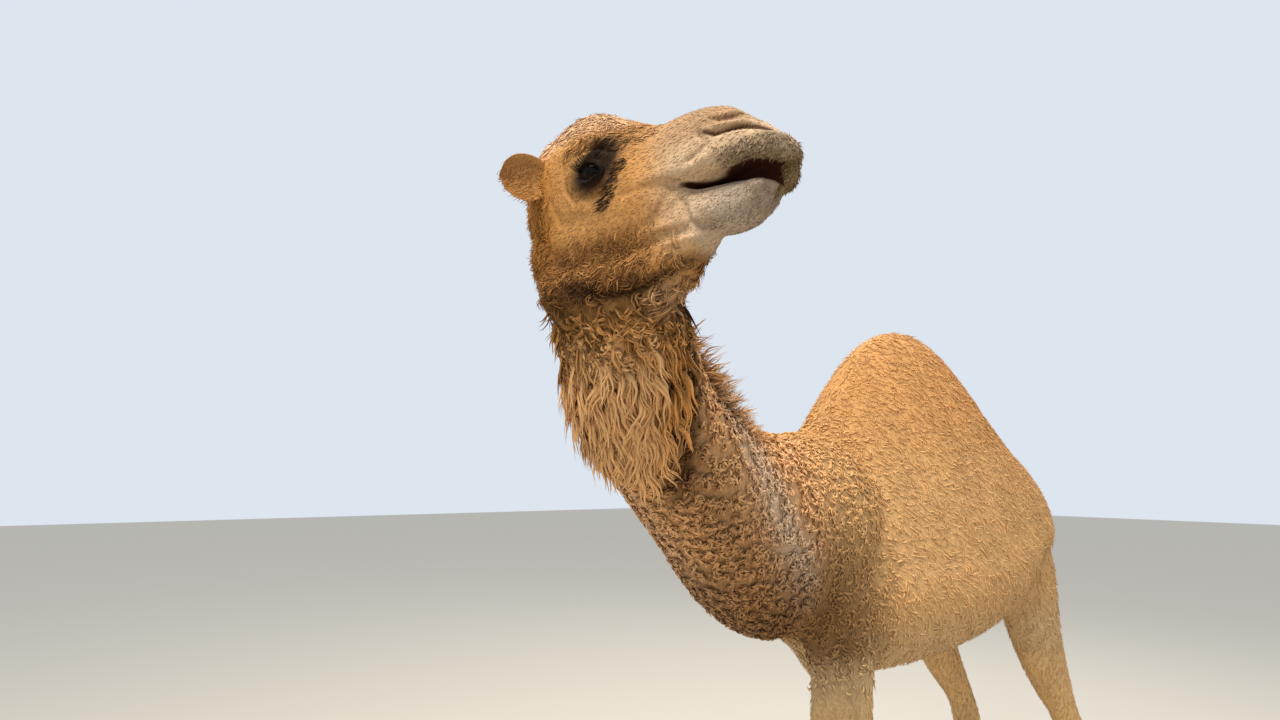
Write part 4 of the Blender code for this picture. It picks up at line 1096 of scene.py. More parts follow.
# Adds a node, sets its values by socket or property name, the stops of its ramp if it has one, and links
# sockets {input: output socket}.
def addNode(tree, kind, settings=None, links=None, stops=()):
    node = tree.nodes.new(kind)
    for name, value in (settings or {}).items():
        if isinstance(name, int) or name in node.inputs:
            node.inputs[name].default_value = value
        else:
            setattr(node, name, value)
    for k, (place, tone) in enumerate(stops):
        node.color_ramp.elements[k].position = place
        node.color_ramp.elements[k].color = tone
    for name, source in (links or {}).items():
        tree.links.new(source, node.inputs[name])
    return node


# A material with its shader's own sockets set: the material, its node tree and the shader.
def newMaterial(name, settings):
    made = bpy.data.materials.new(name)
    made.use_nodes = True
    tree = made.node_tree
    shader = tree.nodes["Principled BSDF"]
    for key, value in settings.items():
        shader.inputs[key].default_value = value
    return made, tree, shader


# An sRGB hex colour as a shader takes it.
def rgba(code):
    return (*toLinear(code), 1.0)


# A grey that a colour is multiplied by, as a shader takes it.
def grey(tone):
    return (tone, tone, tone, 1)


# A mix node that multiplies: input 0 is the amount, 6 the colour and 7 the tones.
multiply = {"data_type": "RGBA", "blend_type": "MULTIPLY", "clamp_result": False}


# Keratin of wool and hair. Its IOR of 1.55 is near the shader's own; the specular is low, because many fibres
# scatter the light, and a warm sheen gives the eye the soft edge of a fleece.
keratin = {"Sheen Roughness": 0.5, "Sheen Tint": rgba("C9935E"), "Specular IOR Level": 0.12}


# Camel wool, loose in curls, locks or straight hair: it shows soft light and dark streaks along each tuft
# and no gloss. Fibres are 0.02 mm thick, far too fine to show, so the streaks are drawn coarser, at two to
# six round a tuft, which is 3 to 8 mm, and they run along its length.
def woolMaterial(name, rough, sheen, strands, streak):
    made, tree, shader = newMaterial(name, {**keratin, "Roughness": rough, "Sheen Weight": sheen})
    colour = addNode(tree, "ShaderNodeAttribute", {"attribute_name": "coatColour"})
    strand = addNode(tree, "ShaderNodeUVMap", {"uv_map": "Strand"}).outputs["UV"]
    stretch = addNode(tree, "ShaderNodeMapping", {"Scale": (strands, 1.6, 1)}, {"Vector": strand})
    noise = addNode(tree, "ShaderNodeTexNoise", {"Scale": 1.0, "Detail": 2.0}, {"Vector": stretch.outputs[0]})
    tones = addNode(tree, "ShaderNodeValToRGB", links={"Fac": noise.outputs["Fac"]},
                    stops=[(0.30, grey(1 - streak)), (0.70, grey(1 + streak * 0.35))])
    relief = addNode(tree, "ShaderNodeBump", {"Strength": 0.55, "Distance": 0.002},
                     {"Height": noise.outputs["Fac"]})
    mix = addNode(tree, "ShaderNodeMix", {**multiply, 0: 1.0},
                  {6: colour.outputs["Color"], 7: tones.outputs["Color"]})
    tree.links.new(mix.outputs[2], shader.inputs["Base Color"])
    tree.links.new(relief.outputs["Normal"], shader.inputs["Normal"])
    return made


# Noise scales along and across the lie, per metre. Real hair is 0.05 mm thick, so it is drawn coarser, as
# strands 2.4 mm by 14 mm on the head and 4 mm by 17 mm on the body, so that it shows.
hideSet = {"headGrain": (70, 420, 420), "bodyGrain": (260, 260, 60), "specks": 120.0, "curls": 85.0}


# Hide under hair: the colour of the coat with short hair as a fine lying grain and specks of 8 mm, and
# where the wool is deep painted shade in the hollows between curls 12 mm apart.
def hideMaterial(name, onHead):
    made, tree, shader = newMaterial(name, {
        **keratin, "Roughness": 0.78, "Sheen Weight": 0.02, "Sheen Roughness": 0.45,
        "Specular IOR Level": 0.10})
    colour = addNode(tree, "ShaderNodeAttribute", {"attribute_name": "coatColour"}).outputs["Color"]
    wool = addNode(tree, "ShaderNodeAttribute", {"attribute_name": "woolShare"}).outputs["Fac"]
    place = addNode(tree, "ShaderNodeTexCoord").outputs["Object"]
    turned = addNode(tree, "ShaderNodeMapping", {
        "Rotation": (0, 0, -math.radians(headPlace["turn"]) if onHead else 0),
        "Scale": hideSet["headGrain"] if onHead else hideSet["bodyGrain"]}, {"Vector": place})
    hair = addNode(tree, "ShaderNodeTexNoise", {"Scale": 1.0, "Detail": 3.0, "Distortion": 0.6},
                   {"Vector": turned.outputs[0]}).outputs["Fac"]
    specks = addNode(tree, "ShaderNodeTexNoise", {"Scale": hideSet["specks"], "Detail": 3.0},
                     {"Vector": place}).outputs["Fac"]
    curls = addNode(tree, "ShaderNodeTexVoronoi", {"Scale": hideSet["curls"], "feature": "SMOOTH_F1"},
                    {"Vector": place}).outputs["Distance"]
    for source, amount, stops in ((hair, 0.8, [(0.32, grey(0.80)), (0.68, grey(1.10))]),
                                  (specks, 1.0, [(0.35, grey(0.86)), (0.65, grey(1.06))]),
                                  (curls, 1.0, [(0.10, grey(0.84)), (0.65, grey(0.66))])):
        tones = addNode(tree, "ShaderNodeValToRGB", links={"Fac": source}, stops=stops)
        mix = addNode(tree, "ShaderNodeMix", {**multiply, 0: amount}, {6: colour, 7: tones.outputs["Color"]})
        colour = mix.outputs[2]
    # The painted shade of the hollows shows only as far as the wool is deep.
    tree.links.new(wool, mix.inputs[0])      # the hollows show only as far as the wool is deep
    fineRelief = addNode(tree, "ShaderNodeBump", {"Strength": 0.35, "Distance": 0.0012}, {"Height": hair})
    depth = addNode(tree, "ShaderNodeMath", {"operation": "MULTIPLY"}, {0: curls, 1: wool})
    relief = addNode(tree, "ShaderNodeBump", {"Strength": 0.8, "Distance": -0.006},
                     {"Height": depth.outputs[0], "Normal": fineRelief.outputs["Normal"]})
    tree.links.new(colour, shader.inputs["Base Color"])
    tree.links.new(relief.outputs["Normal"], shader.inputs["Normal"])
    return made


# Worn nail horn: dull brown keratin, mottled in bands of about 11 mm as it grew.
def hornMaterial():
    made, tree, shader = newMaterial("nail_horn", {"Roughness": 0.48})
    place = addNode(tree, "ShaderNodeTexCoord").outputs["Object"]
    bands = addNode(tree, "ShaderNodeTexNoise", {"Scale": 90.0, "Detail": 4.0}, {"Vector": place})
    tones = addNode(tree, "ShaderNodeValToRGB", links={"Fac": bands.outputs["Fac"]},
                    stops=[(0.0, rgba("2E2620")), (1.0, rgba("6E5D4B"))])
    tree.links.new(tones.outputs["Color"], shader.inputs["Base Color"])
    return made


# A wet eye: the clear cornea, of IOR 1.38, gives one small sharp light over a dark brown iris and a black
# pupil that lies level.
def eyeMaterial():
    made, tree, shader = newMaterial("wet_eye", {"Roughness": 0.10, "Coat Weight": 0.12, "IOR": 1.38,
                                                 "Coat Roughness": 0.02, "Specular IOR Level": 0.05})
    colour = addNode(tree, "ShaderNodeAttribute", {"attribute_name": "eyeColour"})
    tree.links.new(colour.outputs["Color"], shader.inputs["Base Color"])
    return made


woolSet = {
    "curled_wool": {"rough": 0.85, "sheen": 0.06, "strands": 6.0, "streak": 0.36},
    "long_locks": {"rough": 0.78, "sheen": 0.08, "strands": 3.0, "streak": 0.22},
    "short_hair": {"rough": 0.70, "sheen": 0.05, "strands": 2.0, "streak": 0.16}}
headHide = hideMaterial("head_hide", True)
bodyHide = hideMaterial("body_hide", False)
curledWool, lockWool, shortHair = (woolMaterial(name, **look) for name, look in woolSet.items())
# Lashes are straight stiff hair, so they are glossier than wool.
darkHair, _, _ = newMaterial("dark_lash_hair", {"Roughness": 0.45, "Base Color": rgba("1A110B")})
nailHorn = hornMaterial()
wetEye = eyeMaterial()
print("stage: materials")


# The finished piece: in the model's frame, smooth, riding on the body, with its slot.
def dressed(name, mesh, material):
    thing = objectOf(name, mesh)
    thing.data.materials.clear()
    thing.data.materials.append(material)
    thing.data.shade_smooth()
    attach(thing, "root")
    return thing


# 1 where the coat is deep curled wool, 0 where it is short hair.
def woolShare(points, onHead):
    local = toHead(points)
    _, y, z = points.T
    deep = (1 - fade(y, -0.10, 0.25) * 0.55) * fade(z, 0.85, 1.05)
    if onHead:
        deep *= 1 - fade(local[:, 2], -0.20, -0.15) * fade(local[:, 0], -0.08, -0.05) * 0.85
        deep *= 1 - fade(local[:, 2], -0.15, -0.12) * fade(local[:, 0], -0.08, -0.05)
    return deep


for mesh, onHead in ((headMesh, True), (bodyMesh, False)):
    at = corners(mesh)
    setColour(mesh, "coatColour", markings(at))
    setValue(mesh, "woolShare", woolShare(at, onHead))

headRoots, bodyRoots = headMesh.copy(), bodyMesh.copy()      # kept in the animal's frame to root the coat on
for mesh in (headMesh, bodyMesh):
    setCorners(mesh, corners(mesh) + shift)
skinHead = dressed("skin_head", headMesh, headHide)
skinBody = dressed("skin_body", bodyMesh, bodyHide)
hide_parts("head", "neck_upper")
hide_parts("neck_lower", "trunk", "tail", "foreleg_left", "foreleg_right", "hindleg_left",
            "hindleg_right")
print("stage: skins dressed")

eyeSet = {
    "iris": 0.0128, "pupilAcross": 0.0085, "pupilUp": 0.0040, "cornea": 0.035,
    "ballTone": "0E0805", "irisTone": "160B05", "pupilTone": "020202", "rimTone": "16100C",
    # the lids: size of the almond, distance from the ball's middle
    "lidRows": [(0.84, 0.0243), (0.90, 0.0256), (0.95, 0.0266), (1.00, 0.0277), (1.05, 0.0284),
                (1.12, 0.0287), (1.22, 0.0288), (1.34, 0.0285), (1.44, 0.0279), (1.56, 0.0283),
                (1.72, 0.0284), (1.95, 0.0280), (2.2, 0.0272)],
    "lidThickness": 0.0012,
    # the lashes: how many, first and last place round the lids in half turns, length, rise
    "lashRows": [(76, 0.10, 0.92, 0.026, 0.10), (44, 1.10, 1.90, 0.015, -0.35)],
    "lashOut": 0.0284, "lashThickness": 0.00055}


# The lids' edge: a superellipse, as places across and up from the eye's middle before its tilt.
def almond(turn):
    power = 2 / eyeSocket["power"]
    across = np.sign(np.cos(turn)) * np.abs(np.cos(turn)) ** power * eyeSocket["across"]
    return across, np.sign(np.sin(turn)) * np.abs(np.sin(turn)) ** power * eyeSocket["up"]


# Places across and up, turned by the tilt of the eye.
def tilted(across, up):
    c, s = math.cos(eyeSocket["tilt"]), math.sin(eyeSocket["tilt"])
    return across * c - up * s, across * s + up * c


# Head-frame points at a distance from the ball's middle, over the places u forward and v up.
def onBall(centre, side, u, v, reach):
    out = np.sqrt(np.maximum(reach**2 - u**2 - v**2, 0))
    return np.stack([centre[0] + u, centre[1] + side * out, centre[2] + v], axis=-1)


# A ball whose front swells into the cornea as a bell curve of the angle from its axis.
def eyeball(centre, side):
    tilt, turn = np.meshgrid(np.linspace(0.002, math.pi - 0.002, 40),
                             np.linspace(0, 2 * math.pi, 56, endpoint=False), indexing="ij")
    reach = eyeSocket["ball"] * (1 + eyeSet["cornea"] * np.exp(-(tilt / 0.55) ** 4))
    ball = centre + np.stack([np.sin(tilt) * np.cos(turn), np.cos(tilt) * side, np.sin(tilt) * np.sin(turn)],
                             -1) * reach[..., None]
    points, faces = gridShell(placed(ball))
    mesh = meshOf("eye", points + shift, faces)
    off = toHead(points) - centre
    pupil = (off[:, 0] / eyeSet["pupilAcross"]) ** 2 + (off[:, 2] / eyeSet["pupilUp"]) ** 2
    iris = 1 - fade(np.hypot(off[:, 0], off[:, 2]), eyeSet["iris"] - 0.001, eyeSet["iris"] + 0.001)
    edge, brown, black = (toLinear(eyeSet[word]) for word in ("ballTone", "irisTone", "pupilTone"))
    tone = edge + (brown - edge) * iris[:, None]
    tone = tone + (black - tone) * (1 - fade(pupil, 0.8, 1.2))[:, None]
    setColour(mesh, "eyeColour", tone)
    recalculated(mesh)
    return mesh


# Rings of the almond at growing sizes, laid over the ball and then over the socket's edge, made thick.
def eyelids(centre, side):
    turn = np.linspace(0, 2 * math.pi, 112, endpoint=False)
    u, v = tilted(*almond(turn))
    lid = []
    for scale, reach in eyeSet["lidRows"]:
        apart = np.hypot(u * scale, v * scale)
        squeeze = np.minimum(1, reach * 0.985 / apart)
        lid.append(onBall(centre, side, u * scale * squeeze, v * scale * squeeze, reach))
    lid = np.array(lid)
    points = fromHead(lid.reshape(-1, 3))
    mesh = meshOf("lid", points + shift, [ringQuads(*lid.shape[:2])])
    rim = np.repeat(1 - fade(np.array([row[0] for row in eyeSet["lidRows"]]), 1.02, 1.7), len(turn))
    tone = markings(points)
    tone = tone * (1 - rim[:, None] * 0.85) + toLinear(eyeSet["rimTone"]) * rim[:, None] * 0.85
    setColour(mesh, "coatColour", tone)
    setValue(mesh, "woolShare", np.zeros(len(points)))
    recalculated(mesh)
    solid = objectOf("solid_lid", mesh)
    thick = solid.modifiers.new("thick", "SOLIDIFY")
    thick.thickness, thick.offset = eyeSet["lidThickness"], -1.0
    return settled(solid)


# Lashes on one lid as grids of lash, place along it and corner: each is a three-sided spike along a line
# that fans out from the ball and lifts by the square of the place along it.
def eyelashes(centre, side, many, first, last, long, rise):
    around = math.pi * (first + (last - first) * (np.arange(many) + 0.6 * chance.random(many)) / many)
    across, up = almond(around)
    u, v = tilted(across * 1.03, up * 1.03)
    root = onBall(centre, side, u, v, eyeSet["lashOut"])
    fan = np.stack([u * 22, np.full(many, side * 1.0), v * 12 + rise], axis=-1)
    fan = unit(fan + (chance.random((many, 3)) - 0.5) * 0.28)
    lift = np.array([0.25, 0, 0.55 if rise > 0 else -0.4])
    size = long * (0.75 + 0.4 * chance.random(many))
    t = np.linspace(0, 1, 7)
    line = root[:, None] + size[:, None, None] * (t[None, :, None] * fan[:, None]
                                                  + (t**2)[None, :, None] * lift * 0.5)
    girth = eyeSet["lashThickness"] * (1 - t**1.5)[None, :, None] + 0.00004
    corner = np.array([(math.cos(2.1 * k), 0.3 * math.sin(4 * k), math.sin(2.1 * k)) for k in range(3)])
    return line[:, :, None] + girth[:, :, None] * corner


for side, word in ((1, "left"), (-1, "right")):
    centre = np.array([eyeSocket["at"][0], eyeSocket["out"] * side, eyeSocket["at"][1]])
    ball = dressed("eyeball_" + word, eyeball(centre, side), wetEye)
    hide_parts("eye_" + word)
    dressed("eyelids_" + word, eyelids(centre, side), headHide)
    lashes = [lash for row in eyeSet["lashRows"] for lash in eyelashes(centre, side, *row)]
    dressed("eyelashes_" + word, shellsMesh("eyelashes_" + word, [placed(lash) + shift for lash in lashes]),
            darkHair)
print("stage: eyes")


earSet = {
    "at": (0.045, 0.066, 0.088), "aim": (-0.45, 0.89, 0.05), "cup": 0.015, "inside": "8A6238",
    # place along the ear, half width, thickness
    "rows": [(-0.012, 0.014, 0.020), (0.0, 0.020, 0.020), (0.018, 0.033, 0.012), (0.040, 0.043, 0.008),
             (0.062, 0.044, 0.006), (0.082, 0.035, 0.005), (0.094, 0.021, 0.004), (0.100, 0.004, 0.003)]}


# An ear along local X: flat ellipses whose widths follow the rows, bent into a cup by the square of the
# place across.
def earGrid():
    rows = np.array(earSet["rows"])
    places = np.linspace(rows[0, 0], rows[-1, 0], 34)
    wide, thick = smoothThrough(places, rows[:, 0], rows[:, 1:]).T
    wide = np.maximum(wide, 0.003)
    turn = np.linspace(0, 2 * math.pi, 40, endpoint=False)[None, :]
    cup = (earSet["cup"] * fade(places, 0.0, 0.035) * (1 - fade(places, 0.075, 0.098) * 0.5))[:, None]
    a = wide[:, None] * np.cos(turn)
    b = cup * ((a / wide[:, None]) ** 2 - 0.75) + thick[:, None] * 0.6 * np.sin(turn)
    return np.stack([np.broadcast_to(places[:, None], a.shape), a, b], axis=-1)


earRoots = {}
for side, word in ((1, "left"), (-1, "right")):
    aim = unit(np.array(earSet["aim"]) * (1, side, 1))
    across = unit(np.array([0, 0, 1.0]) - aim * aim[2])
    face = np.cross(aim, across) * side
    root = np.array(earSet["at"]) * (1, side, 1)
    mesh = shellsMesh("ear_skin_" + word, [placed(earGrid() @ np.stack([aim, across, face]) + root)])
    earRoots[word] = mesh.copy()
    at = corners(mesh)
    tone = np.tile(coatLinear["face"], (len(at), 1))
    inside = fade(normals(mesh) @ (headTurn @ face), 0.1, 0.5)
    tone = tone + (toLinear(earSet["inside"]) - tone) * (inside * 0.35)[:, None]
    setColour(mesh, "coatColour", tone)
    setValue(mesh, "woolShare", np.zeros(len(at)))
    setCorners(mesh, at + shift)
    ear = dressed("ear_skin_" + word, mesh, headHide)
    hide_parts("ear_" + word)
print("stage: ears")

# Two nails on each foot, each a half-buried ellipsoid: half sizes, distance from the foot's middle line,
# height of its middle, how far below that it is cut flat, and how far forward it is on each kind of foot.
nailSet = {"wide": 0.018, "high": 0.013, "deep": 0.021, "apart": 0.033, "middle": 0.0125, "cut": -0.012,
           "fore": 0.092, "hind": 0.082}
nails = []
for kind, side, line in limbLines.values():
    toeX, toeY = line[-2][0] * side, line[-2][1]
    for part in (-1, 1):
        ball = ballGrid((0, 0, 0), (nailSet["wide"], nailSet["deep"], nailSet["high"]), 20, 14)
        ball[..., 2] = np.maximum(ball[..., 2], nailSet["cut"])
        nails.append(ball + (toeX + part * nailSet["apart"], toeY - nailSet[kind] * 0.90, nailSet["middle"]))
dressed("toe_nails", shellsMesh("toe_nails", [nail + shift for nail in nails]), nailHorn)
print("stage: nails")


# Where each kind of coat grows, as shares from 0 to 1 at points in the animal's frame.
def headMask(points):
    local = toHead(points)
    return (fade(local[:, 2], -0.165, -0.135) * fade(local[:, 0], -0.075, -0.05)
            * (points[:, 1] < coatBorders["head"]))


# 0 inside the mouth, over the eyes and in the nostrils, 1 elsewhere.
def lipsOpen(points):
    local = toHead(points)
    free = 1 - inMouth(local, 0.002)
    for side in (1, -1):
        free *= fade(eyeOpening(local, side), 2.0, 2.8)
    nostril, _ = onPath(local, faceFolds["nostril"][0])
    return free * fade(nostril, 0.002, 0.005)


# The beard: the neck's throat side from an edge that drifts down it, between two heights of the neck.
def beardShare(points):
    share, turn = fromNape(points)
    edge = beardEdge(share)
    return (fade(turn, edge - 14, edge + 10) * fade(share, 0.730, 0.765) * (1 - fade(share, 0.90, 0.93))
            * (points[:, 1] < coatBorders["beard"]))


# The mane: a band along the nape, 8 degrees to its left.
def maneShare(points):
    share, turn = fromNape(points, 8)
    return (1 - fade(turn, 16, 30)) * fade(share, 0.46, 0.60) * (points[:, 1] < coatBorders["mane"])


# 0 in front of the shoulder, 1 behind it.
def behindShoulder(points):
    return fade(points[:, 1], -0.02, 0.22)


# The curled wool of neck and shoulder.
def neckZone(points):
    return (1 - behindShoulder(points)) * fade(points[:, 2], 0.98, 1.10)


# The neck without beard and mane.
def bareNeck(points):
    return neckZone(points) * (1 - beardShare(points)) * (1 - maneShare(points))


# The share of the neck's length from the shoulder up.
def upNeck(points):
    return neckPlace(points)[0]


# One piece of coat: roots scattered over a skin at the spacing of its dictionary, tufts on them, and the
# finish. tones(count) gives the tufts colours of their own.
def coat(name, skin, wanted, shape, material, tones=None):
    roots, facing = scattered(skin, shape["spacing"], wanted)
    tone = tones(len(roots)) if tones else None
    return dressed(name, tufted(name, roots, facing, shape, skin is not bodyRoots, tone), material)


# Short hair that lies back over the face.
faceHair = {"spacing": 0.0058, "length": 0.0095, "width": 0.0024, "flat": 0.5, "rise": 0.32, "rest": 0.08,
            "turn": 0.25, "wander": 0.35, "rings": 2, "sides": 3, "dark": 0.15, "mottle": 0.15, "tip": 1.05,
            "sunk": 0.0008}
coat("face_hair", headRoots, lambda at: headMask(at) * lipsOpen(at) * 0.95, faceHair, shortHair)

# Rougher, darker hair on the cheek and behind the jaw.
cheekHair = dict(faceHair, spacing=0.0062, length=0.018, width=0.0030, rise=0.7, rest=0.15, turn=0.9,
                 wander=0.8, dark=0.60, mottle=0.42, rings=3, tip=1.2)


# The cheek below the eye, and behind the jaw.
def cheekShare(points):
    x, _, z = toHead(points).T
    return headMask(points) * np.maximum(fade(-z, 0.03, 0.08) * (1 - fade(x, 0.20, 0.30)),
                                         (1 - fade(x, 0.02, 0.06)) * (z < 0.1))


coat("cheek_hair", headRoots, cheekShare, cheekHair, lockWool)

# Soft waves over the brow.
browHair = {"spacing": 0.0076, "length": 0.020, "width": 0.0032, "flat": 0.4, "rise": 0.28, "rest": 0.03,
            "turn": 0.8, "wander": 0.5, "wave": 0.4, "waves": 1.3, "strands": 3, "lock": 0.008, "rings": 4,
            "sides": 3, "dark": 0.10, "mottle": 0.12, "tip": 1.06, "sunk": 0.001}


# The brow, without its middle.
def browShare(points):
    x, _, z = toHead(points).T
    return (headMask(points) * fade(z, 0.092, 0.115) * fade(x, 0.09, 0.13) * (1 - fade(x, 0.25, 0.29))
            * (1 - fade(x, 0.14, 0.20) * fade(z, 0.18, 0.2)))


coat("brow_hair", headRoots, browShare, browHair, lockWool)

# Loose tufts along the jaw.
jawTuft = {"spacing": 0.0110, "length": 0.028, "width": 0.0036, "flat": 0.55, "rise": 0.5, "rest": 0.05,
           "turn": 1.9, "wander": 0.9, "wave": 0.5, "waves": 1.2, "strands": 4, "lock": 0.012, "rings": 5,
           "sides": 3, "dark": 0.7, "mottle": 0.35, "tip": 1.25, "sunk": 0.002}


# The lower edge of the jaw.
def jawShare(points):
    x, _, z = toHead(points).T
    return headMask(points) * fade(-z, 0.080, 0.105) * (1 - fade(x, 0.30, 0.34)) * 0.8


coat("jaw_tufts", headRoots, jawShare, jawTuft, lockWool)

# Bristles on the upper lip and, finer, on the chin.
lipBristle = {"spacing": 0.0040, "length": 0.0105, "width": 0.0024, "flat": 0.6, "rise": 0.75, "rest": 0.10,
              "turn": 1.2, "wander": 0.9, "rings": 3, "sides": 3, "dark": 0.85, "mottle": 0.55, "tip": 1.35,
              "sunk": 0.0005, "litFrom": 0.7}
chinBristle = dict(lipBristle, spacing=0.0055, length=0.009, width=0.0017, rise=0.35, dark=0.55, tip=1.3)


# The upper lip, lower on the side of its hanging lobe.
def lipShare(points):
    x, y, z = toHead(points).T
    lobe = fade(y, 0.0, 0.012)      # the left lobe hangs 36 mm lower
    return (fade(x, 0.385, 0.41) * (1 - fade(z, 0.034, 0.042)) * lipsOpen(points) * 0.8
            * fade(z + 0.036 * lobe * fade(x, 0.41, 0.44), 0.004, 0.008))


# The front of the chin below the lower lip.
def chinShare(points):
    x, _, z = toHead(points).T
    return (fade(x, 0.345, 0.38) * fade(-z, 0.018, 0.028) * (1 - fade(-z, 0.09, 0.10))
            * lipsOpen(points) * 0.7)


coat("lip_bristles", headRoots, lipShare, lipBristle, shortHair)
coat("chin_bristles", headRoots, chinShare, chinBristle, shortHair)

# Dark slanting streaks in front of the eye.
eyeStreak = dict(faceHair, spacing=0.0047, length=0.022, width=0.0025, rise=0.34, rings=3, turn=0.2,
                 wander=0.22, mottle=0.4, dark=0.1)
streakPath = [(0.222, 0.066), (0.207, 0.034), (0.186, 0.004)]      # x and z of their middle line


# A band 20 mm wide along the path.
def streakShare(points):
    apart, _ = onPath(toHead(points), streakPath)
    return (1 - fade(apart, 0.008, 0.012)) * headMask(points) * 0.75


# Tones from the brown round the eye to near black, more of the dark ones.
def streakTones(count):
    brown, dark = coatLinear["eyeShade"], coatLinear["aroundEye"]
    return brown + (dark - brown) * chance.random((count, 1)) ** 0.5


coat("eye_streaks", headRoots, streakShare, eyeStreak, shortHair, streakTones)

# Flat fair curls over the crown.
crownCurl = {"spacing": 0.0085, "length": 0.026, "width": 0.0054, "flat": 0.35, "rise": 0.14, "rest": 0.02,
             "turn": 1.4, "wander": 0.6, "wave": 0.4, "waves": 1.2, "strands": 3, "lock": 0.010, "rings": 4,
             "sides": 3, "dark": 0.08, "mottle": 0.10, "sunk": 0.001, "litFrom": 0.35}


# The top of the head behind the brow.
def crownShare(points):
    x, _, z = toHead(points).T
    return headMask(points) * fade(z, 0.13, 0.175) * (1 - fade(x, 0.19, 0.25))


coat("crown_curls", headRoots, crownShare, crownCurl, curledWool)

# Tangled wool of the throat, its roots deep in painted shade and its tips bright with painted light.
throatWool = {"spacing": 0.0128, "length": 0.036, "width": 0.0074, "flat": 0.6, "rise": 0.42,
              "rest": -0.06, "turn": 2.4, "droop": 0.7, "wander": 0.7, "wave": 0.5, "waves": 1.2,
              "strands": 4, "lock": 0.018, "rings": 6, "sides": 3, "dark": 0.92, "mottle": 0.45,
              "sunk": 0.003, "tip": 1.75, "litFrom": 0.8}


# The throat below the jaw, away from the nape, and thinner under the beard.
def throatShare(points):
    z = toHead(points)[:, 2]
    _, turn = fromNape(points)
    return ((1 - fade(z, -0.165, -0.135)) * fade(z, -0.30, -0.25) * (1 - beardShare(points) * 0.5)
            * fade(turn, 20, 50))


coat("throat_wool", headRoots, throatShare, throatWool, lockWool)

# Round curls like lambskin, 28 mm across, over neck and shoulder.
neckCurl = {"spacing": 0.0073, "length": 0.024, "width": 0.0092, "flat": 0.45, "rise": 0.55, "rest": -0.08,
            "turn": 2.0, "wander": 0.6, "rings": 3, "sides": 3, "dark": 0.12, "mottle": 0.10, "spread": 0.35,
            "sunk": 0.003, "litFrom": 0.30, "tip": 1.06, "taper": 2.2, "rosette": 0.028, "swirl": 0.75,
            "dome": 0.009, "gaps": 0.34}
upperNeckCurl = dict(neckCurl, spacing=0.0072)
lowerNeckCurl = dict(neckCurl, spacing=0.0076)
shoulderCurl = dict(neckCurl, spacing=0.0086, turn=1.4, dark=0.08, dome=0.004, swirl=0.5, gaps=0.15)


# The upper neck round the back of the head, and thinner under the beard.
def upperNeckShare(points):
    x, _, z = toHead(points).T
    return ((1 - headMask(points)) * (1 - fade(z, -0.22, -0.16) * fade(x, -0.06, 0.0))
            * (1 - beardShare(points) * 0.6))


coat("upper_neck_curls", headRoots, upperNeckShare, upperNeckCurl, curledWool)


# The neck between the two curl borders.
def midNeckShare(points):
    up = upNeck(points)
    return bareNeck(points) * (up > coatBorders["lowerNeck"]) * (up < coatBorders["upperNeck"])


# The neck below them, down to the shoulder.
def lowerNeckShare(points):
    return (bareNeck(points) * (upNeck(points) <= coatBorders["lowerNeck"])
            * (points[:, 1] < coatBorders["shoulder"]))


# The shoulder.
def shoulderShare(points):
    return bareNeck(points) * (points[:, 1] >= coatBorders["shoulder"])


coat("neck_curls", bodyRoots, midNeckShare, neckCurl, curledWool)
coat("lower_neck_curls", bodyRoots, lowerNeckShare, lowerNeckCurl, curledWool)
coat("shoulder_curls", bodyRoots, shoulderShare, shoulderCurl, curledWool)

# Long wavy locks that hang from the throat.
beardLock = {"spacing": 0.0200, "length": 0.080, "width": 0.0140, "flat": 0.50, "rise": 0.90, "rest": 0.0,
             "turn": 0.50, "wander": 0.38, "droop": 0.75, "wave": 0.65, "waves": 1.5, "spread": 0.4,
             "strands": 5, "lock": 0.017, "rings": 8, "sides": 3, "dark": 0.95, "mottle": 0.40,
             "sunk": 0.004, "taper": 2.2, "litFrom": 0.66, "tip": 1.40}
coat("beard_locks", bodyRoots, beardShare, beardLock, lockWool)


# The mane's tufts grow from a third of their size at the shoulder to the full size behind the head.
def maneSize(points):
    return 0.30 + 0.70 * fade(upNeck(points), 0.52, 0.74)


# Upright tufts along the nape.
maneTuft = {"spacing": 0.0150, "length": 0.066, "width": 0.0050, "flat": 0.6, "rise": 1.35, "rest": 0.95,
            "turn": 1.2, "wander": 1.0, "wave": 0.7, "waves": 1.6, "strands": 5, "lock": 0.022, "rings": 7,
            "sides": 3, "dark": 0.75, "mottle": 0.25, "sunk": 0.003, "taper": 2.2, "tip": 1.25,
            "scale": maneSize}
coat("mane_tufts", bodyRoots, lambda at: maneShare(at) * neckZone(at), maneTuft, lockWool)

# Felted wool that lies back over hump and flanks.
humpWool = {"spacing": 0.0152, "length": 0.036, "width": 0.0074, "flat": 0.35, "rise": 0.42, "rest": 0.02,
            "turn": 1.1, "wander": 0.7, "rings": 3, "sides": 3, "dark": 0.22, "mottle": 0.10, "sunk": 0.002,
            "litFrom": 0.35}
flankWool = dict(humpWool, spacing=0.0158)


# The hump and the back.
def humpShare(points):
    _, y, z = points.T
    return behindShoulder(points) * (z > coatBorders["flank"]) * (y < coatBorders["rump"])


# The flanks and the belly's sides.
def flankShare(points):
    _, y, z = points.T
    return (behindShoulder(points) * (z <= coatBorders["flank"]) * fade(z, 0.88, 1.02)
            * (y < coatBorders["rump"]))


coat("hump_wool", bodyRoots, humpShare, humpWool, shortHair)
coat("flank_wool", bodyRoots, flankShare, flankWool, shortHair)

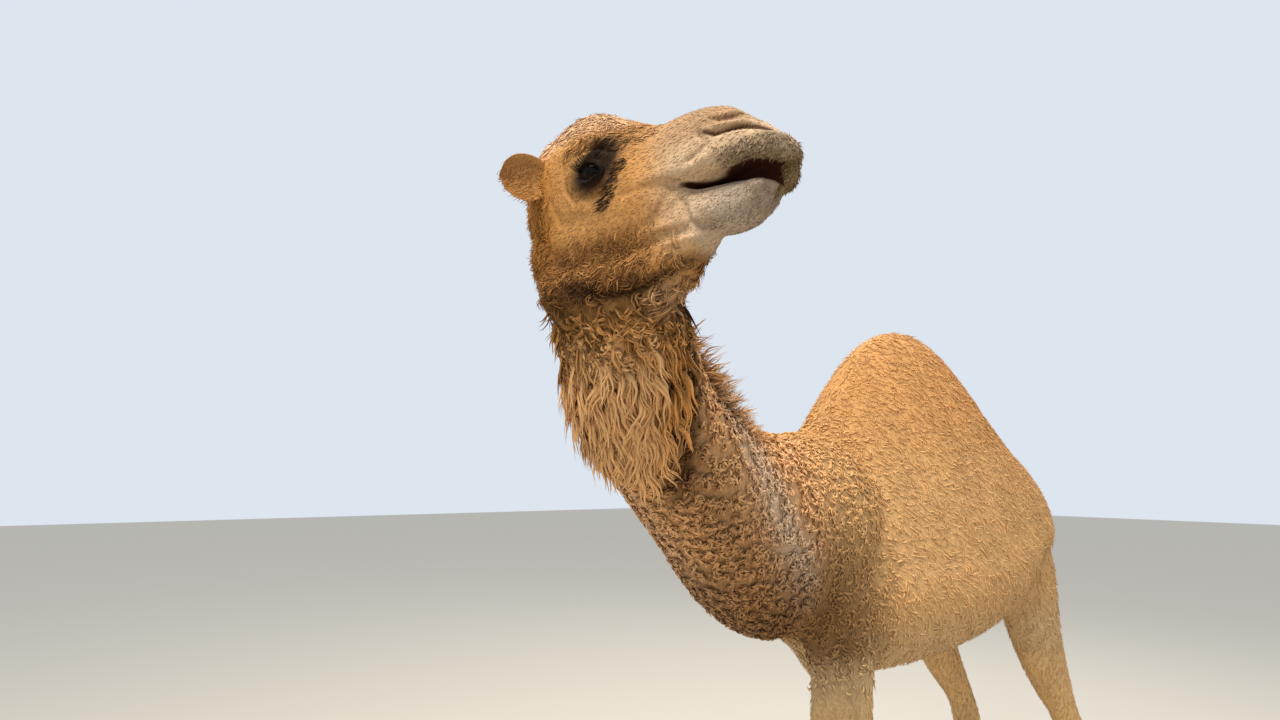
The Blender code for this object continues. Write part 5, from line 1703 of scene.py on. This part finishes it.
# Short straight hair on the legs and, closer, on the tail.
legHair = {"spacing": 0.0140, "length": 0.022, "width": 0.0052, "flat": 0.4, "rise": 0.35, "rest": 0.04,
           "turn": 0.3, "wander": 0.3, "rings": 2, "sides": 3, "dark": 0.22, "mottle": 0.14, "sunk": 0.001}
tailHair = dict(legHair, spacing=0.0080)


# The legs, from above the knee to just above the ground.
def legShare(points):
    _, y, z = points.T
    return (1 - fade(z, 0.90, 1.04)) * fade(z, 0.03, 0.06) * (y < coatBorders["rump"] + 0.06 * (z < 0.85))


# The tail.
def tailShare(points):
    return fade(points[:, 1], 1.345, 1.36) * (points[:, 2] > 0.86)


coat("leg_hair", bodyRoots, legShare, legHair, shortHair)
coat("tail_hair", bodyRoots, tailShare, tailHair, shortHair)

# The tassel at the tail's end.
tailLock = {"spacing": 0.0060, "length": 0.12, "width": 0.009, "flat": 0.5, "rise": 0.5, "rest": 0.05,
            "turn": 0.4, "wander": 0.4, "droop": 1.2, "rings": 8, "sides": 4, "dark": 0.5, "sunk": 0.002}
coat("tail_locks", bodyRoots, lambda at: tailShare(at) * (1 - fade(at[:, 2], 1.05, 1.22)), tailLock, lockWool)

earHair = dict(faceHair, spacing=0.0045, length=0.012)
for word, mesh in earRoots.items():
    coat("ear_hair_" + word, mesh, lambda at: np.ones(len(at)), earHair, shortHair)


floorEdge = 30.0      # metres from the middle
floorCorners = [(x * floorEdge, y * floorEdge, -0.001) for x, y in ((-1, -1), (1, -1), (1, 1), (-1, 1))]
floorMesh = meshOf("floor", np.array(floorCorners), [np.array([[0, 1, 2, 3]])])
floor = objectOf("floor", floorMesh)
matt, _, _ = newMaterial("matt_pale_floor", {"Roughness": 0.9, "Base Color": rgba("CEC5B5")})
floorMesh.materials.append(matt)

roomSet = {"colour": "DDE5EF", "strength": 1.0}
world = bpy.data.worlds.new("pale_room")
world.use_nodes = True
background = world.node_tree.nodes["Background"]
background.inputs["Color"].default_value = rgba(roomSet["colour"])
background.inputs["Strength"].default_value = roomSet["strength"]
bpy.context.scene.world = world

lampAim = (0.1, -0.9, 1.6)
# place, size, power in watts and tint of each soft lamp
lampSet = {"key": ((0.9, -3.0, 5.2), 1.8, 230, "FFF3E2"), "top": ((0.5, 1.5, 6.0), 2.4, 160, "FFF8F0"),
           "back": ((-2.5, 4.0, 5.0), 3.0, 60, "FFFFFF")}
for name, (spot, size, power, tint) in lampSet.items():
    lamp = bpy.data.lights.new(name, "AREA")
    lamp.size, lamp.energy, lamp.color = size, power, toLinear(tint)
    thing = objectOf(name, lamp)
    thing.location = spot
    way = unit(np.array(lampAim) - np.array(spot))
    thing.rotation_euler = Vector(way).to_track_quat("-Z", "Y").to_euler()

# place, heading, pitch in degrees and focal length in mm
cameraSet = {"at": (1.460, -1.554, 1.55), "heading": (-0.829, 0.559), "pitch": 10.46, "lens": 18.28}
camera = bpy.data.cameras.new("camera")
camera.lens, camera.sensor_width, camera.clip_start = cameraSet["lens"], 36.0, 0.02
eyePoint = objectOf("camera", camera)
eyePoint.location = np.array(cameraSet["at"]) + shift
pitch = math.radians(cameraSet["pitch"])
ahead = Vector((*(np.array(cameraSet["heading"]) * math.cos(pitch)), math.sin(pitch)))
eyePoint.rotation_euler = ahead.to_track_quat("-Z", "Y").to_euler()
bpy.context.scene.camera = eyePoint
bpy.context.scene.view_settings.view_transform = "Standard"
print("stage: floor, light and camera")

bpy.context.view_layer.update()
print("stage: done")
